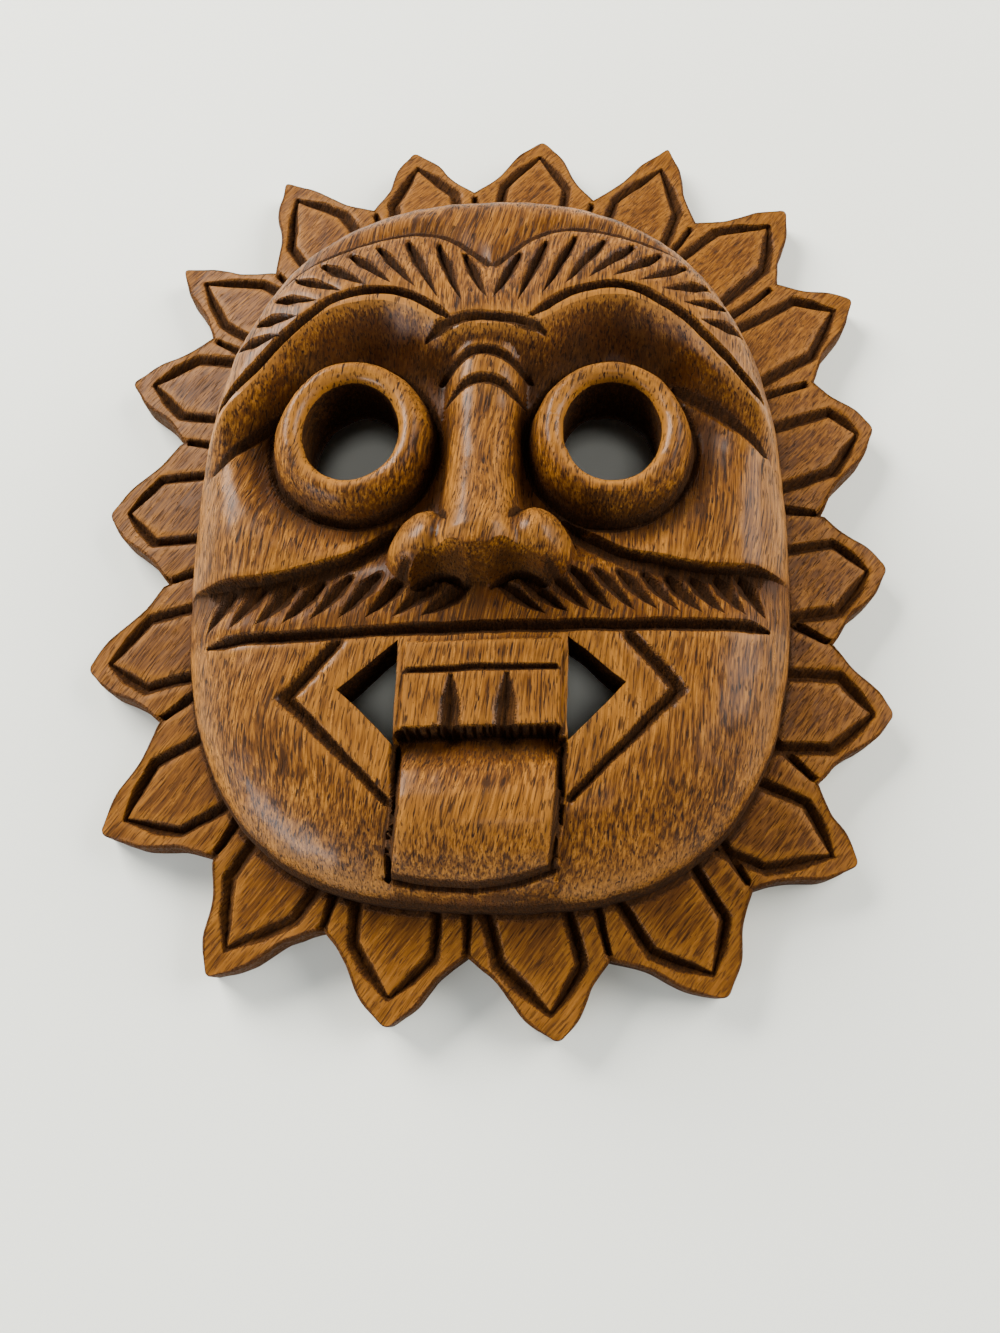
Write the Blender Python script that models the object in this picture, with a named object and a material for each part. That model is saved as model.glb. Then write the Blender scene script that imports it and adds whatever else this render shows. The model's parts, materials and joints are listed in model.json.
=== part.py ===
"""A carved wooden sun mask: one hollow piece of wood, a grinning face in a ring of rays.

It lies on its back with the face up, +Y toward the forehead, and its back rim is the plane
z = 0. Lengths are in metres. The front is a carved height over the back plane. Places on
the face are drawn in pattern squares, a millimetre each at the size built, counted from the
point between the eyes, so that the carving follows the face when its size changes. Depths,
widths of cuts, walls and holes are real sizes.
"""
import math

import bpy
import numpy as np
from mathutils import Vector
from mathutils.geometry import delaunay_2d_cdt

MILLIMETRE = 0.001

# The ring of rays
RAY_COUNT = 19
MASK_WIDTH = 0.2405
MASK_LENGTH = 0.3006
RAY_LENGTH = 0.0212
RAY_EDGE_BENDS = ((0.35, -0.02), (0.72, 0.035))
TIP_BLUNTNESS = 0.58
TIP_SQUARENESS = 2.92
VALLEY_SQUARENESS = 2.74
RAY_START = 0.0046
VALLEY_START = 0.0331
RING_TURN = math.radians(1.5)
RING_CENTRE = (0.0027, 0.0020)
VALLEY_DROP = 0.0038
TIP_ROUND = 0.0030
TIP_THICKNESS = 0.0075
ROOT_THICKNESS = 0.0140
EDGE_ROUND = 0.0009

# How far each tip and each valley was cut from its place in the rule, in millimetres
HAND_CUT_TIPS = ((4, -2), (1, 0), (0, -3), (-1, 3), (-4, 1), (-4, 1), (-2, 3), (0, 5), (-1, 1), (2, -3),
                 (5, -2), (2, -4), (-2, -2), (-2, 0), (-2, 3), (-4, 4), (-2, 3), (4, 1), (6, -5))
HAND_CUT_VALLEYS = ((1, -4), (-1, 1), (1, 7), (0, 7), (-3, -1), (-1, -3), (0, -5), (2, -1), (0, -3),
                    (2, -1), (3, -1), (3, -6), (-1, -4), (0, 0), (-2, 9), (-2, 9), (2, -2), (4, -2), (0, -2))

# The cuts on the rays
PETAL_BORDER = 0.0052
PETAL_CUT_WIDTH = 0.0030
PETAL_CUT_DEPTH = 0.0022
PETAL_HALF_WIDTH = 0.0108
PETAL_BASE_SHARE = 0.62
VALLEY_CUT_WIDTH = 0.0038
VALLEY_CUT_DEPTH = 0.0026
VALLEY_CUT_START = 0.16

# The face block
FACE_LAND = 0.0130
FACE_END_LAND = 0.0157
FACE_DROP = 0.0075
FACE_TOP_SQUARENESS = 2.4
FACE_JAW_SQUARENESS = 2.85
JAW_SHOULDER_WIDTH = 0.0240
TOP_SHOULDER_WIDTH = 0.0150
SHOULDER_CHANGE = (-60.0, 20.0)
SHOULDER_HEIGHT = 0.0235
FACE_CROWN = 0.0030
RELIEF_START = 1.4
FOOT_SHARE = 0.9995
PATTERN_ACROSS = 86.0
PATTERN_UP = 111.5
SLANT = 0.034

# The hollow in the back
RIM_WIDTH = 0.0120
WALL_THICKNESS = 0.0100

# Eyes
EYE_SPREAD = 35.9
EYE_MIDDLE = -1.8
EYE_LEVEL = 7.0
EYE_HOLE_WIDTH = 0.0270
EYE_HOLE_HEIGHT = 0.0314
EYE_RING_LAND = 0.0102
EYE_RING_HEIGHT = 0.0115
EYE_CREASE_DROP = 0.0012
EYE_RING_CREST = 0.32
EYE_CUT_WIDTH = 0.0034
EYE_CUT_DEPTH = 0.0016
SOCKET_DEPTH = 0.0040
SOCKET_REACH = 1.3

# Brows, in pattern squares on the right side, and mirrored
BROW_RIDGE = ((13.0, 38.0), (20.5, 43.0), (28.0, 46.5), (34.0, 47.4), (41.0, 46.5), (48.0, 43.0),
              (55.5, 36.6), (62.5, 28.8), (69.0, 20.5), (76.0, 14.0), (90.0, 4.0))
BROW_CUT = ((12.0, 41.4), (22.5, 48.9), (33.0, 51.3), (43.0, 49.3), (53.0, 41.8), (62.0, 32.8), (69.0, 25.0),
            (76.0, 17.0))
BROW_HEIGHT = 0.0105
BROW_FALL = 0.85
BROW_TAPER = (52.0, 86.0)
BROW_END_SHARE = 0.45
BROW_SLANT = 0.018
BROW_REACH_UP = 42.0
BROW_REACH_DOWN = 14.0
BROW_CUT_WIDTH = 0.0036
BROW_CUT_DEPTH = 0.0030
PANEL_TOP = ((0.5, 64.8), (6.0, 70.6), (11.0, 75.2), (17.0, 78.2), (24.0, 78.5), (33.0, 76.5), (43.0, 72.0),
             (53.0, 66.5), (62.0, 58.5), (69.0, 49.5), (74.0, 41.0))
PANEL_CUT_WIDTH = 0.0036
PANEL_SLOPE_WIDTH = 0.0065
PANEL_CUT_DEPTH = 0.0022
BROW_HAIRS = 10
BROW_HAIR_HEADS = ((8.0, 68.8), (17.0, 72.6), (27.0, 73.0), (36.0, 69.8), (46.0, 66.0), (54.0, 60.8),
                   (61.0, 53.5), (67.0, 44.0), (71.0, 37.5))
BROW_HAIR_TIPS = ((0.6, 47.5), (8.0, 46.0), (15.0, 48.0), (24.0, 53.0), (32.0, 53.8), (40.0, 52.5),
                  (47.5, 49.8), (54.0, 44.5), (58.6, 38.7))
HAIR_WIDTH = 0.0040
HAIR_DEPTH = 0.0020

# Frown lines between the brows, in pattern squares
FROWN_LINES = (((-17.4, 37.0), (-2.2, 41.3), (15.3, 37.0)),
               ((-14.0, 26.8), (-2.0, 32.0), (12.0, 26.6)),
               ((-11.6, 19.0), (-1.8, 22.0), (9.6, 18.6)))
FROWN_WIDTH = 0.0034
FROWN_DEPTH = 0.0022

# Nose: level up the face, half width of the bridge in squares, height above the face ground
NOSE_PROFILE = ((44.0, 13.0, 0.0085), (36.0, 13.5, 0.0100), (24.0, 12.5, 0.0105), (12.0, 11.5, 0.0110),
                (-5.0, 11.2, 0.0145), (-18.0, 13.0, 0.0185), (-28.0, 14.5, 0.0212), (-36.0, 14.5, 0.0195),
                (-40.0, 14.0, 0.0175))
NOSE_MIDDLE = -1.2
NOSE_FOOT_DROP = 0.0020
NOSE_BOTTOM = -37.4
NOSE_BOTTOM_STEEPNESS = 5.0
NOSE_BASE_HALF_WIDTH = 24.0
NOSE_BASE_POINTS = 17
WING_PLACE = (15.6, -26.5)
WING_REACH = (9.8, 10.4)
WING_HEIGHT = 0.0155
WING_CUT = ((8.0, -23.5), (11.0, -17.6), (15.5, -16.2), (20.5, -18.4), (25.2, -24.6))
WING_CUT_WIDTH = 0.0030
WING_CUT_DEPTH = 0.0024
NOSTRIL_PLACE = 10.4
NOSTRIL_REACH = 7.6
NOSTRIL_RISE = 3.6
NOSTRIL_CUT = ((3.5, -37.4), (10.4, -34.2), (17.5, -37.4))
NOSTRIL_CUT_WIDTH = 0.0030
NOSTRIL_CUT_DEPTH = 0.0030

# Cheeks, moustache and mouth, in pattern squares
CHEEK_PLACE = (50.0, -14.0)
CHEEK_REACH = (24.0, 15.0)
CHEEK_HEIGHT = 0.0030
CHEEK_EDGE = ((76.0, -33.2), (62.0, -33.2), (51.0, -31.7), (39.0, -28.5), (31.0, -24.0), (25.0, -19.5))
CHEEK_WALL_WIDTH = 0.0014
CHEEK_CUT_DEPTH = 0.0048
SOCKET_EDGE = ((52.5, 24.5), (60.5, 18.0), (68.5, 10.0), (77.0, 2.5))
SOCKET_CUT_WIDTH = 0.0044
SOCKET_SLOPE_WIDTH = 0.0080
SOCKET_CUT_DEPTH = 0.0030
LIP_WIDTH = 0.0130
MOUSTACHE_HAIRS = {-1: 9, 1: 11}
MOUSTACHE_HEADS = ((4.2, -37.4), (13.0, -36.4), (23.0, -34.6), (36.0, -34.6), (48.0, -36.2), (58.0, -36.6),
                   (68.0, -35.8))
MOUSTACHE_TIPS = ((16.6, -45.5), (30.0, -45.2), (45.0, -45.6), (60.0, -46.5), (75.0, -46.6))
MOUSTACHE_WIDTH = 0.0036
MOUSTACHE_DEPTH = 0.0018
MOUTH_LINE = ((-73.5, -50.2), (-48.0, -49.6), (0.0, -48.6), (48.0, -49.2), (75.0, -49.4))
MOUTH_CUT_WIDTH = 0.0040
MOUTH_CUT_DEPTH = 0.0030
MOUTH_HOLE = ((22.0, -51.6), (37.0, -64.6), (22.0, -79.6))
CHEVRON = ((38.0, -51.6), (50.3, -66.6), (22.4, -94.0))
CHEVRON_WIDTH = 0.0038
CHEVRON_DEPTH = 0.0026

# Teeth and tongue, in pattern squares
TEETH_HALF_WIDTH = 20.5
TEETH_TOP = -52.0
TEETH_BOTTOM = -76.5
TEETH_RAISE = 0.0022
TEETH_EDGE = 1.2
GUM_LINE = ((-19.5, -60.8), (0.0, -60.3), (18.8, -60.8))
GUM_CUT_WIDTH = 0.0026
GUM_CUT_DEPTH = 0.0018
TOOTH_GAPS = (-7.5, 6.5)
TOOTH_GAP_TOP = -62.5
TOOTH_GAP_FLARE = 7.0
TOOTH_GAP_WIDTH = 0.0050
TOOTH_CUT_DEPTH = 0.0028
TONGUE_HALF_WIDTH = 20.8
TONGUE_MIDDLE = -1.0
TONGUE_CROWN = 0.0012
TONGUE_PROFILE = ((-76.5, -0.0062), (-80.0, -0.0045), (-86.0, -0.0003), (-93.0, 0.0028), (-100.0, 0.0046),
                  (-107.0, 0.0050), (-112.0, 0.0032), (-116.0, 0.0004))
TONGUE_OUTLINE = ((-21.6, -79.5), (-20.6, -96.0), (-22.6, -111.4), (-13.0, -114.4), (-2.0, -115.4),
                  (9.0, -114.0), (18.2, -110.6), (19.8, -92.0), (20.9, -79.5))
TONGUE_CUT_WIDTH = 0.0032
TONGUE_CUT_DEPTH = 0.0034

# How finely the wood is cut into facets
FACE_SPACING = 0.0120
HOLLOW_SPACING = 0.0160
FACET_TOLERANCE = 0.0006
HOLLOW_TOLERANCE = 0.0016
FACET_GAP = 0.0022
REFINE_ROUNDS = 3
SHOULDER_RINGS = ((1.0, 64), (0.9965, 64), (0.985, 64), (0.94, 56), (0.87, 48))
EYE_RING_SHARES = (0.14, 0.42, 0.72)
HOLLOW_RINGS = ((1.0, 56), (0.985, 56), (0.94, 48), (0.86, 40))
HOLLOW_LOOSE_RING = 0.72
HOLLOW_LOOSE_COUNT = 32
HOLLOW_CLEARANCE = 0.0015
HOLLOW_GRID_SHARE = 0.85
FACE_GRID_SHARE = 0.95
MERGE_DISTANCE = 0.00004
EYE_SIDES = 28

# Wood
WOOD_COLOUR = (0.35, 0.13, 0.022, 1.0)
WOOD_ROUGHNESS = 0.42

# Worked out from the sizes above
VALLEY_HALF_WIDTH = MASK_WIDTH / 2 - RAY_LENGTH
VALLEY_HALF_LENGTH = MASK_LENGTH / 2 - RAY_LENGTH - VALLEY_DROP / 2
FACE_HALF_WIDTH = VALLEY_HALF_WIDTH - FACE_LAND
FACE_HALF_LENGTH = VALLEY_HALF_LENGTH - FACE_END_LAND
SQUARE_ACROSS = FACE_HALF_WIDTH / PATTERN_ACROSS
SQUARE_UP = FACE_HALF_LENGTH / PATTERN_UP
FACE_GROUND = ROOT_THICKNESS + SHOULDER_HEIGHT
HOLLOW_DEPTH = FACE_GROUND - WALL_THICKNESS


def smooth_step(amount):
    """Ease a share from 0 to 1."""
    share = np.clip(amount, 0.0, 1.0)
    return share * share * (3.0 - 2.0 * share)


def smooth_line(corners, per_span):
    """Points of a smooth curve through the corners."""
    points = np.array(corners, float)
    before = np.vstack([2 * points[0] - points[1], points[:-1]])
    after = np.vstack([points[1:], 2 * points[-1] - points[-2]])
    slopes = (after - before) / 2
    line = []
    for index in range(len(points) - 1):
        for step in range(per_span):
            t = step / per_span
            start_share = 2 * t**3 - 3 * t**2 + 1
            line.append(start_share * points[index] + (1 - start_share) * points[index + 1]
                        + (t**3 - 2 * t**2 + t) * slopes[index] + (t**3 - t**2) * slopes[index + 1])
    line.append(points[-1])
    return np.array(line)


def spaced(line, count):
    """Points at even distances along a line, both ends included."""
    steps = np.hypot(*np.diff(line, axis=0).T)
    travelled = np.concatenate([[0.0], np.cumsum(steps)])
    wanted = np.linspace(0.0, travelled[-1], count)
    return np.stack([np.interp(wanted, travelled, line[:, axis]) for axis in (0, 1)], axis=1)


def on_face(squares, side=1, slanted=True):
    """Turn pattern squares into metres, mirrored for the left side and set on the slant."""
    points = np.array(squares, float) * (side, 1.0)
    if slanted:
        points[:, 1] += SLANT * points[:, 0]
    return points * (SQUARE_ACROSS, SQUARE_UP)


def ring_points(half_width, half_length, squareness, start, centre):
    """One point for each ray, evenly spaced round a squared ellipse, clockwise from the top."""
    angles = np.linspace(0.0, 2 * math.pi, 3601)
    across = np.sign(np.sin(angles)) * np.abs(np.sin(angles)) ** (2 / squareness) * half_width
    upward = np.sign(np.cos(angles)) * np.abs(np.cos(angles)) ** (2 / squareness) * half_length
    travelled = np.concatenate([[0.0], np.cumsum(np.hypot(np.diff(across), np.diff(upward)))])
    wanted = (np.arange(RAY_COUNT) / RAY_COUNT + start) * travelled[-1]
    x = np.interp(wanted, travelled, across)
    y = np.interp(wanted, travelled, upward)
    turn_cos, turn_sin = math.cos(RING_TURN), math.sin(RING_TURN)
    turned = np.stack([x * turn_cos + y * turn_sin, y * turn_cos - x * turn_sin], axis=1)
    return turned + np.array(centre)


def hand_cut(points, offsets):
    """Move each point by its whole number of millimetres."""
    moved = points.copy()
    for index in range(len(points)):
        moved[index] += np.array(offsets[index % len(offsets)]) * MILLIMETRE
    return moved


def tips_and_valleys():
    """The corners of the outline: the ray tips, and the valley after each one."""
    tips = ring_points(MASK_WIDTH / 2, MASK_LENGTH / 2, TIP_SQUARENESS, RAY_START, RING_CENTRE)
    valley_centre = (RING_CENTRE[0], RING_CENTRE[1] - VALLEY_DROP)
    valleys = ring_points(VALLEY_HALF_WIDTH, VALLEY_HALF_LENGTH, VALLEY_SQUARENESS, VALLEY_START,
                          valley_centre)
    return hand_cut(tips, HAND_CUT_TIPS), hand_cut(valleys, HAND_CUT_VALLEYS)


def ray_edge(valley, tip, outward):
    """The points between a valley and a rounded tip: hollow near the valley, full near the tip."""
    run = tip - valley
    length = np.hypot(*run)
    normal = np.array([-run[1], run[0]]) / length * outward
    reach = 1.0 - TIP_ROUND / length
    points = []
    for share, swell in RAY_EDGE_BENDS:
        points.append(valley + run * share * reach + normal * swell * length)
    points.append(valley + run * reach)
    return points


def outline_points(tips, valleys):
    """The whole outline, clockwise from the valley before the first ray."""
    outline = []
    for index, tip in enumerate(tips):
        before, after = valleys[index - 1], valleys[index]
        rising = ray_edge(before, tip, 1.0)
        falling = ray_edge(after, tip, -1.0)[::-1]
        blunt = tip + ((rising[-1] + falling[0]) / 2 - tip) * TIP_BLUNTNESS
        outline += [before, *rising, blunt, *falling]
    return np.array(outline)


def face_radius(x, y, half_width=FACE_HALF_WIDTH, half_length=FACE_HALF_LENGTH):
    """0 in the middle of the face and 1 on the line where it meets the rays."""
    level = y + FACE_DROP
    squareness = np.where(level > 0, FACE_TOP_SQUARENESS, FACE_JAW_SQUARENESS)
    shares = np.abs(x / half_width) ** squareness + np.abs(level / half_length) ** squareness
    return shares ** (1 / squareness)


def face_ring(share, count, half_width=FACE_HALF_WIDTH, half_length=FACE_HALF_LENGTH):
    """Points round the face at one share of its size."""
    angles = np.arange(count) / count * 2 * math.pi
    x, y = np.sin(angles) * half_width, np.cos(angles) * half_length
    stretch = share / face_radius(x, y - FACE_DROP, half_width, half_length)
    return np.stack([x * stretch, y * stretch - FACE_DROP], axis=1)


def eye_centre(side):
    """The middle of an eye hole."""
    return on_face([(side * EYE_SPREAD + EYE_MIDDLE, EYE_LEVEL)], slanted=False)[0]


def eye_circle(side, offset, count=EYE_SIDES):
    """Points round an eye, at a distance outside its hole."""
    angles = np.arange(count) / count * 2 * math.pi
    reach = np.array([EYE_HOLE_WIDTH / 2 + offset, EYE_HOLE_HEIGHT / 2 + offset])
    return eye_centre(side) + np.stack([np.sin(angles), np.cos(angles)], axis=1) * reach


def mouth_hole(side):
    """The corners of the three-sided hole beside the teeth."""
    return on_face(MOUTH_HOLE, side)


class Cut:
    """A V-shaped cut along a line, with its own width on each side and its depth."""

    def __init__(self, line, width, depth, ends=(0.0, 0.0), left_width=None, peak=None):
        self.line = np.array(line, float)
        count = len(self.line)
        share = np.linspace(0.0, 1.0, count)
        if peak is None:
            swell = np.ones(count)
            swell[0], swell[-1] = ends
        else:
            swell = np.interp(share, (0.0, peak, 1.0), (ends[0], 1.0, ends[1]))
        self.right = width / 2 * swell
        self.left = (width / 2 if left_width is None else left_width) * swell
        self.depth = depth * np.minimum(swell * 1.5, 1.0)

    def depth_at(self, x, y):
        """How deep the cut is at each place."""
        deepest = np.zeros(len(x))
        for index in range(len(self.line) - 1):
            start, end = self.line[index], self.line[index + 1]
            run = end - start
            length = max(np.hypot(*run), 1e-9)
            along = np.clip(((x - start[0]) * run[0] + (y - start[1]) * run[1]) / length**2, 0.0, 1.0)
            away_x, away_y = x - start[0] - run[0] * along, y - start[1] - run[1] * along
            on_left = run[0] * away_y - run[1] * away_x > 0
            sides = np.where(on_left, self.left[index] + (self.left[index + 1] - self.left[index]) * along,
                             self.right[index] + (self.right[index + 1] - self.right[index]) * along)
            depth = self.depth[index] + (self.depth[index + 1] - self.depth[index]) * along
            share = 1.0 - np.hypot(away_x, away_y) / np.maximum(sides, 1e-6)
            deepest = np.maximum(deepest, depth * share)
        return deepest

    def paths(self):
        """The bottom line of the cut and its two rims, as open lines."""
        run = np.gradient(self.line, axis=0)
        run /= np.maximum(np.hypot(*run.T), 1e-9)[:, None]
        normal = np.stack([-run[:, 1], run[:, 0]], axis=1)
        left = self.line + normal * self.left[:, None]
        right = self.line - normal * self.right[:, None]
        return [self.line, left, right]


def ray_cuts(tips, valleys):
    """The petal drawn on each ray and the cut that runs in from each valley."""
    cuts = []
    for index, tip in enumerate(tips):
        before, after = valleys[index - 1], valleys[index]
        middle = (before + after) / 2
        axis = (tip - middle) / np.hypot(*(tip - middle))
        across = (after - before) / 2
        half_base = np.hypot(*across)
        across = across / half_base
        rise = np.hypot(*(tip - middle))
        slope = rise / half_base
        apex = rise - PETAL_BORDER * math.hypot(1.0, slope)
        half_width = min(PETAL_HALF_WIDTH, half_base * PETAL_BASE_SHARE)
        for side in (-1, 1):
            start = middle + axis * apex
            kink = middle + across * side * half_width + axis * (apex - half_width * slope)
            inner = kink - axis * FACE_LAND * 2
            end = toward_face(kink, inner)
            cuts.append(Cut([start, kink, end], PETAL_CUT_WIDTH, PETAL_CUT_DEPTH, (0.35, 1.0)))
        valley_end = toward_face(after, after * 0.5)
        valley_start = after + (valley_end - after) * VALLEY_CUT_START
        cuts.append(Cut([valley_start, valley_end], VALLEY_CUT_WIDTH, VALLEY_CUT_DEPTH, (0.7, 1.0)))
    return cuts


def toward_face(start, goal):
    """The point where the run from start to goal meets the foot of the face."""
    near, far = 0.0, 1.0
    for _ in range(24):
        middle = (near + far) / 2
        point = start + (goal - start) * middle
        if face_radius(point[0:1], point[1:2])[0] > 1.0:
            near = middle
        else:
            far = middle
    return start + (goal - start) * near


def brow_line(corners, side, per_span):
    """A line of one brow in pattern squares, mirrored for the left side and set on the brows' slant."""
    return smooth_line([(side * u, v + BROW_SLANT * side * u) for u, v in corners], per_span)


def nose_line(corners, side):
    """A line of one side of the nose in metres."""
    return smooth_line(on_face([(side * u + NOSE_MIDDLE, v) for u, v in corners]), 2)


def hair_cuts(heads, tips, count, side, width, depth):
    """A row of pointed cuts fanning from the heads toward the tips."""
    head_points = spaced(smooth_line(on_face(heads, side), 6), count)
    tip_points = spaced(smooth_line(on_face(tips, side), 6), count)
    cuts = []
    for head, tip in zip(head_points, tip_points):
        body = head + (tip - head) * 0.3
        cuts.append(Cut([head, body, tip], width, depth, (0.45, 0.0), peak=0.5))
    return cuts


def face_slopes():
    """The wide one-sided cuts that set one part of the face back from the next.

    Each line runs toward +X, so that its left side is the upper one.
    """
    slopes = []
    for side in (-1, 1):
        panel = smooth_line(on_face(PANEL_TOP, side), 2)[::side]
        slopes.append(Cut(panel, PANEL_CUT_WIDTH, PANEL_CUT_DEPTH, (0.6, 0.6), left_width=PANEL_SLOPE_WIDTH))
        cheek = smooth_line(on_face(CHEEK_EDGE, side), 2)[::-side]
        slopes.append(Cut(cheek, LIP_WIDTH * 2, CHEEK_CUT_DEPTH, (0.7, 0.5)[::side],
                          left_width=CHEEK_WALL_WIDTH))
        socket = smooth_line(on_face(SOCKET_EDGE, side), 2)[::side]
        slopes.append(Cut(socket, SOCKET_CUT_WIDTH, SOCKET_CUT_DEPTH, (0.8, 0.8),
                          left_width=SOCKET_SLOPE_WIDTH))
    return slopes


def face_cuts():
    """Every narrow cut on the face."""
    cuts = []
    for side in (-1, 1):
        brow = on_face(brow_line(BROW_CUT, side, 2), slanted=False)
        cuts.append(Cut(brow, BROW_CUT_WIDTH, BROW_CUT_DEPTH, (0.6, 0.4)))
        cuts += hair_cuts(BROW_HAIR_HEADS, BROW_HAIR_TIPS, BROW_HAIRS, side, HAIR_WIDTH, HAIR_DEPTH)
        cuts += hair_cuts(MOUSTACHE_HEADS, MOUSTACHE_TIPS, MOUSTACHE_HAIRS[side], side, MOUSTACHE_WIDTH,
                          MOUSTACHE_DEPTH)
        cuts.append(Cut(nose_line(WING_CUT, side), WING_CUT_WIDTH, WING_CUT_DEPTH, (0.3, 0.5)))
        cuts.append(Cut(nose_line(NOSTRIL_CUT, side), NOSTRIL_CUT_WIDTH, NOSTRIL_CUT_DEPTH, (0.5, 0.5)))
        cuts.append(Cut(on_face(CHEVRON, side), CHEVRON_WIDTH, CHEVRON_DEPTH, (1.0, 0.3)))
        crease = eye_circle(side, EYE_RING_LAND)
        cuts.append(Cut(np.vstack([crease, crease[:1]]), EYE_CUT_WIDTH, EYE_CUT_DEPTH, (1.0, 1.0)))
    for line in FROWN_LINES:
        cuts.append(Cut(smooth_line(on_face(line), 3), FROWN_WIDTH, FROWN_DEPTH, (0.4, 0.4)))
    cuts.append(Cut(smooth_line(on_face(MOUTH_LINE), 3), MOUTH_CUT_WIDTH, MOUTH_CUT_DEPTH, (0.4, 0.4)))
    cuts.append(Cut(on_face(GUM_LINE), GUM_CUT_WIDTH, GUM_CUT_DEPTH, (0.8, 0.8)))
    for gap in TOOTH_GAPS:
        line = on_face([(gap, TEETH_BOTTOM), (gap, TEETH_BOTTOM + TOOTH_GAP_FLARE), (gap, TOOTH_GAP_TOP)])
        cuts.append(Cut(line, TOOTH_GAP_WIDTH, TOOTH_CUT_DEPTH, (1.0, 0.3)))
    cuts.append(Cut(on_face(TONGUE_OUTLINE), TONGUE_CUT_WIDTH, TONGUE_CUT_DEPTH, (1.0, 1.0)))
    return cuts


def signed_distance(u, v, line):
    """Distance to a line, positive on its left side, and how far along it the nearest point is."""
    nearest = np.full(len(u), np.inf)
    signed = np.zeros(len(u))
    for start, end in zip(line[:-1], line[1:]):
        run = end - start
        along = np.clip(((u - start[0]) * run[0] + (v - start[1]) * run[1]) / (run @ run), 0.0, 1.0)
        away_u, away_v = u - start[0] - run[0] * along, v - start[1] - run[1] * along
        distance = np.hypot(away_u, away_v)
        sign = np.where(run[0] * away_v - run[1] * away_u > 0, 1.0, -1.0)
        closer = distance < nearest
        nearest = np.where(closer, distance, nearest)
        signed = np.where(closer, distance * sign, signed)
    return signed


def brow_mass(u, v):
    """The brow stands highest on its ridge, rolls back over the forehead and falls hollow to the eye.

    It sinks toward the temples.
    """
    ridge = np.vstack([brow_line(BROW_RIDGE, -1, 3)[::-1], brow_line(BROW_RIDGE, 1, 3)])
    away = signed_distance(u, v, ridge)
    above = 1.0 - BROW_FALL * smooth_step(away / BROW_REACH_UP)
    below = np.clip(1.0 + away / BROW_REACH_DOWN, 0.0, 1.0) ** 2
    along = (np.abs(u) - BROW_TAPER[0]) / (BROW_TAPER[1] - BROW_TAPER[0])
    height = BROW_HEIGHT * (1.0 - (1.0 - BROW_END_SHARE) * smooth_step(along))
    return height * np.where(away > 0, above, below)


def nose_bottom(away):
    """Where the underside of the nose ends, higher at the nostrils."""
    nostril = np.clip(1.0 - ((away - NOSTRIL_PLACE) / NOSTRIL_REACH) ** 2, 0.0, 1.0)
    return NOSE_BOTTOM + NOSTRIL_RISE * nostril


def nose_top(u, v):
    """The bridge, the tip and both wings of the nose from above, over the face ground."""
    levels, widths, heights = (np.array(column)[::-1] for column in zip(*NOSE_PROFILE))
    half_width = np.interp(v, levels, widths)
    ridge = np.interp(v, levels, heights)
    away = np.abs(u - NOSE_MIDDLE)
    bridge = ridge - (ridge + NOSE_FOOT_DROP) * (away / half_width)**3
    wing_square = ((away - WING_PLACE[0]) / WING_REACH[0]) ** 2 + ((v - WING_PLACE[1]) / WING_REACH[1]) ** 2
    wing = (WING_HEIGHT + NOSE_FOOT_DROP) * np.sqrt(np.clip(1.0 - wing_square, 0.0, 1.0)) - NOSE_FOOT_DROP
    nose = np.where(wing_square < 1.0, np.maximum(bridge, wing), bridge)
    return np.where(v < levels[-1], nose, -SHOULDER_HEIGHT)


def nose_height(u, v):
    """The nose with its steep underside, above the face ground, and far under it elsewhere."""
    risen = v - nose_bottom(np.abs(u - NOSE_MIDDLE))
    underside = risen * NOSE_BOTTOM_STEEPNESS * SQUARE_UP - NOSE_FOOT_DROP
    return np.minimum(nose_top(u, v), underside)


def nose_edge(across, rounds=6):
    """The level where the underside of the nose meets its top."""
    bottom = nose_bottom(np.abs(across - NOSE_MIDDLE))
    level = bottom
    for _ in range(rounds):
        height = np.maximum(nose_top(across, level), 0.0)
        level = bottom + (height + NOSE_FOOT_DROP) / (NOSE_BOTTOM_STEEPNESS * SQUARE_UP)
    return level


def eye_ring_height(x, y, side):
    """The rounded ring round an eye hole, above the face ground, and how far out in it a place is."""
    centre = eye_centre(side)
    away_x, away_y = x - centre[0], y - centre[1]
    distance = np.maximum(np.hypot(away_x, away_y), 1e-6)
    half_width, half_height = EYE_HOLE_WIDTH / 2, EYE_HOLE_HEIGHT / 2
    edge = half_width * half_height * distance / np.hypot(half_height * away_x, half_width * away_y)
    out = (distance - edge) / EYE_RING_LAND
    inner = 0.84 + 0.16 * np.sin(np.clip(out / EYE_RING_CREST, -1.0, 1.0) * math.pi / 2)
    outer = np.cos(np.clip((out - EYE_RING_CREST) / (1 - EYE_RING_CREST), 0.0, 1.6) * math.pi / 2)
    ring = EYE_RING_HEIGHT * np.where(out < EYE_RING_CREST, inner, outer) - EYE_CREASE_DROP
    return np.where(out < 1.0 + EYE_RING_CREST, ring, -SHOULDER_HEIGHT), out


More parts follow.
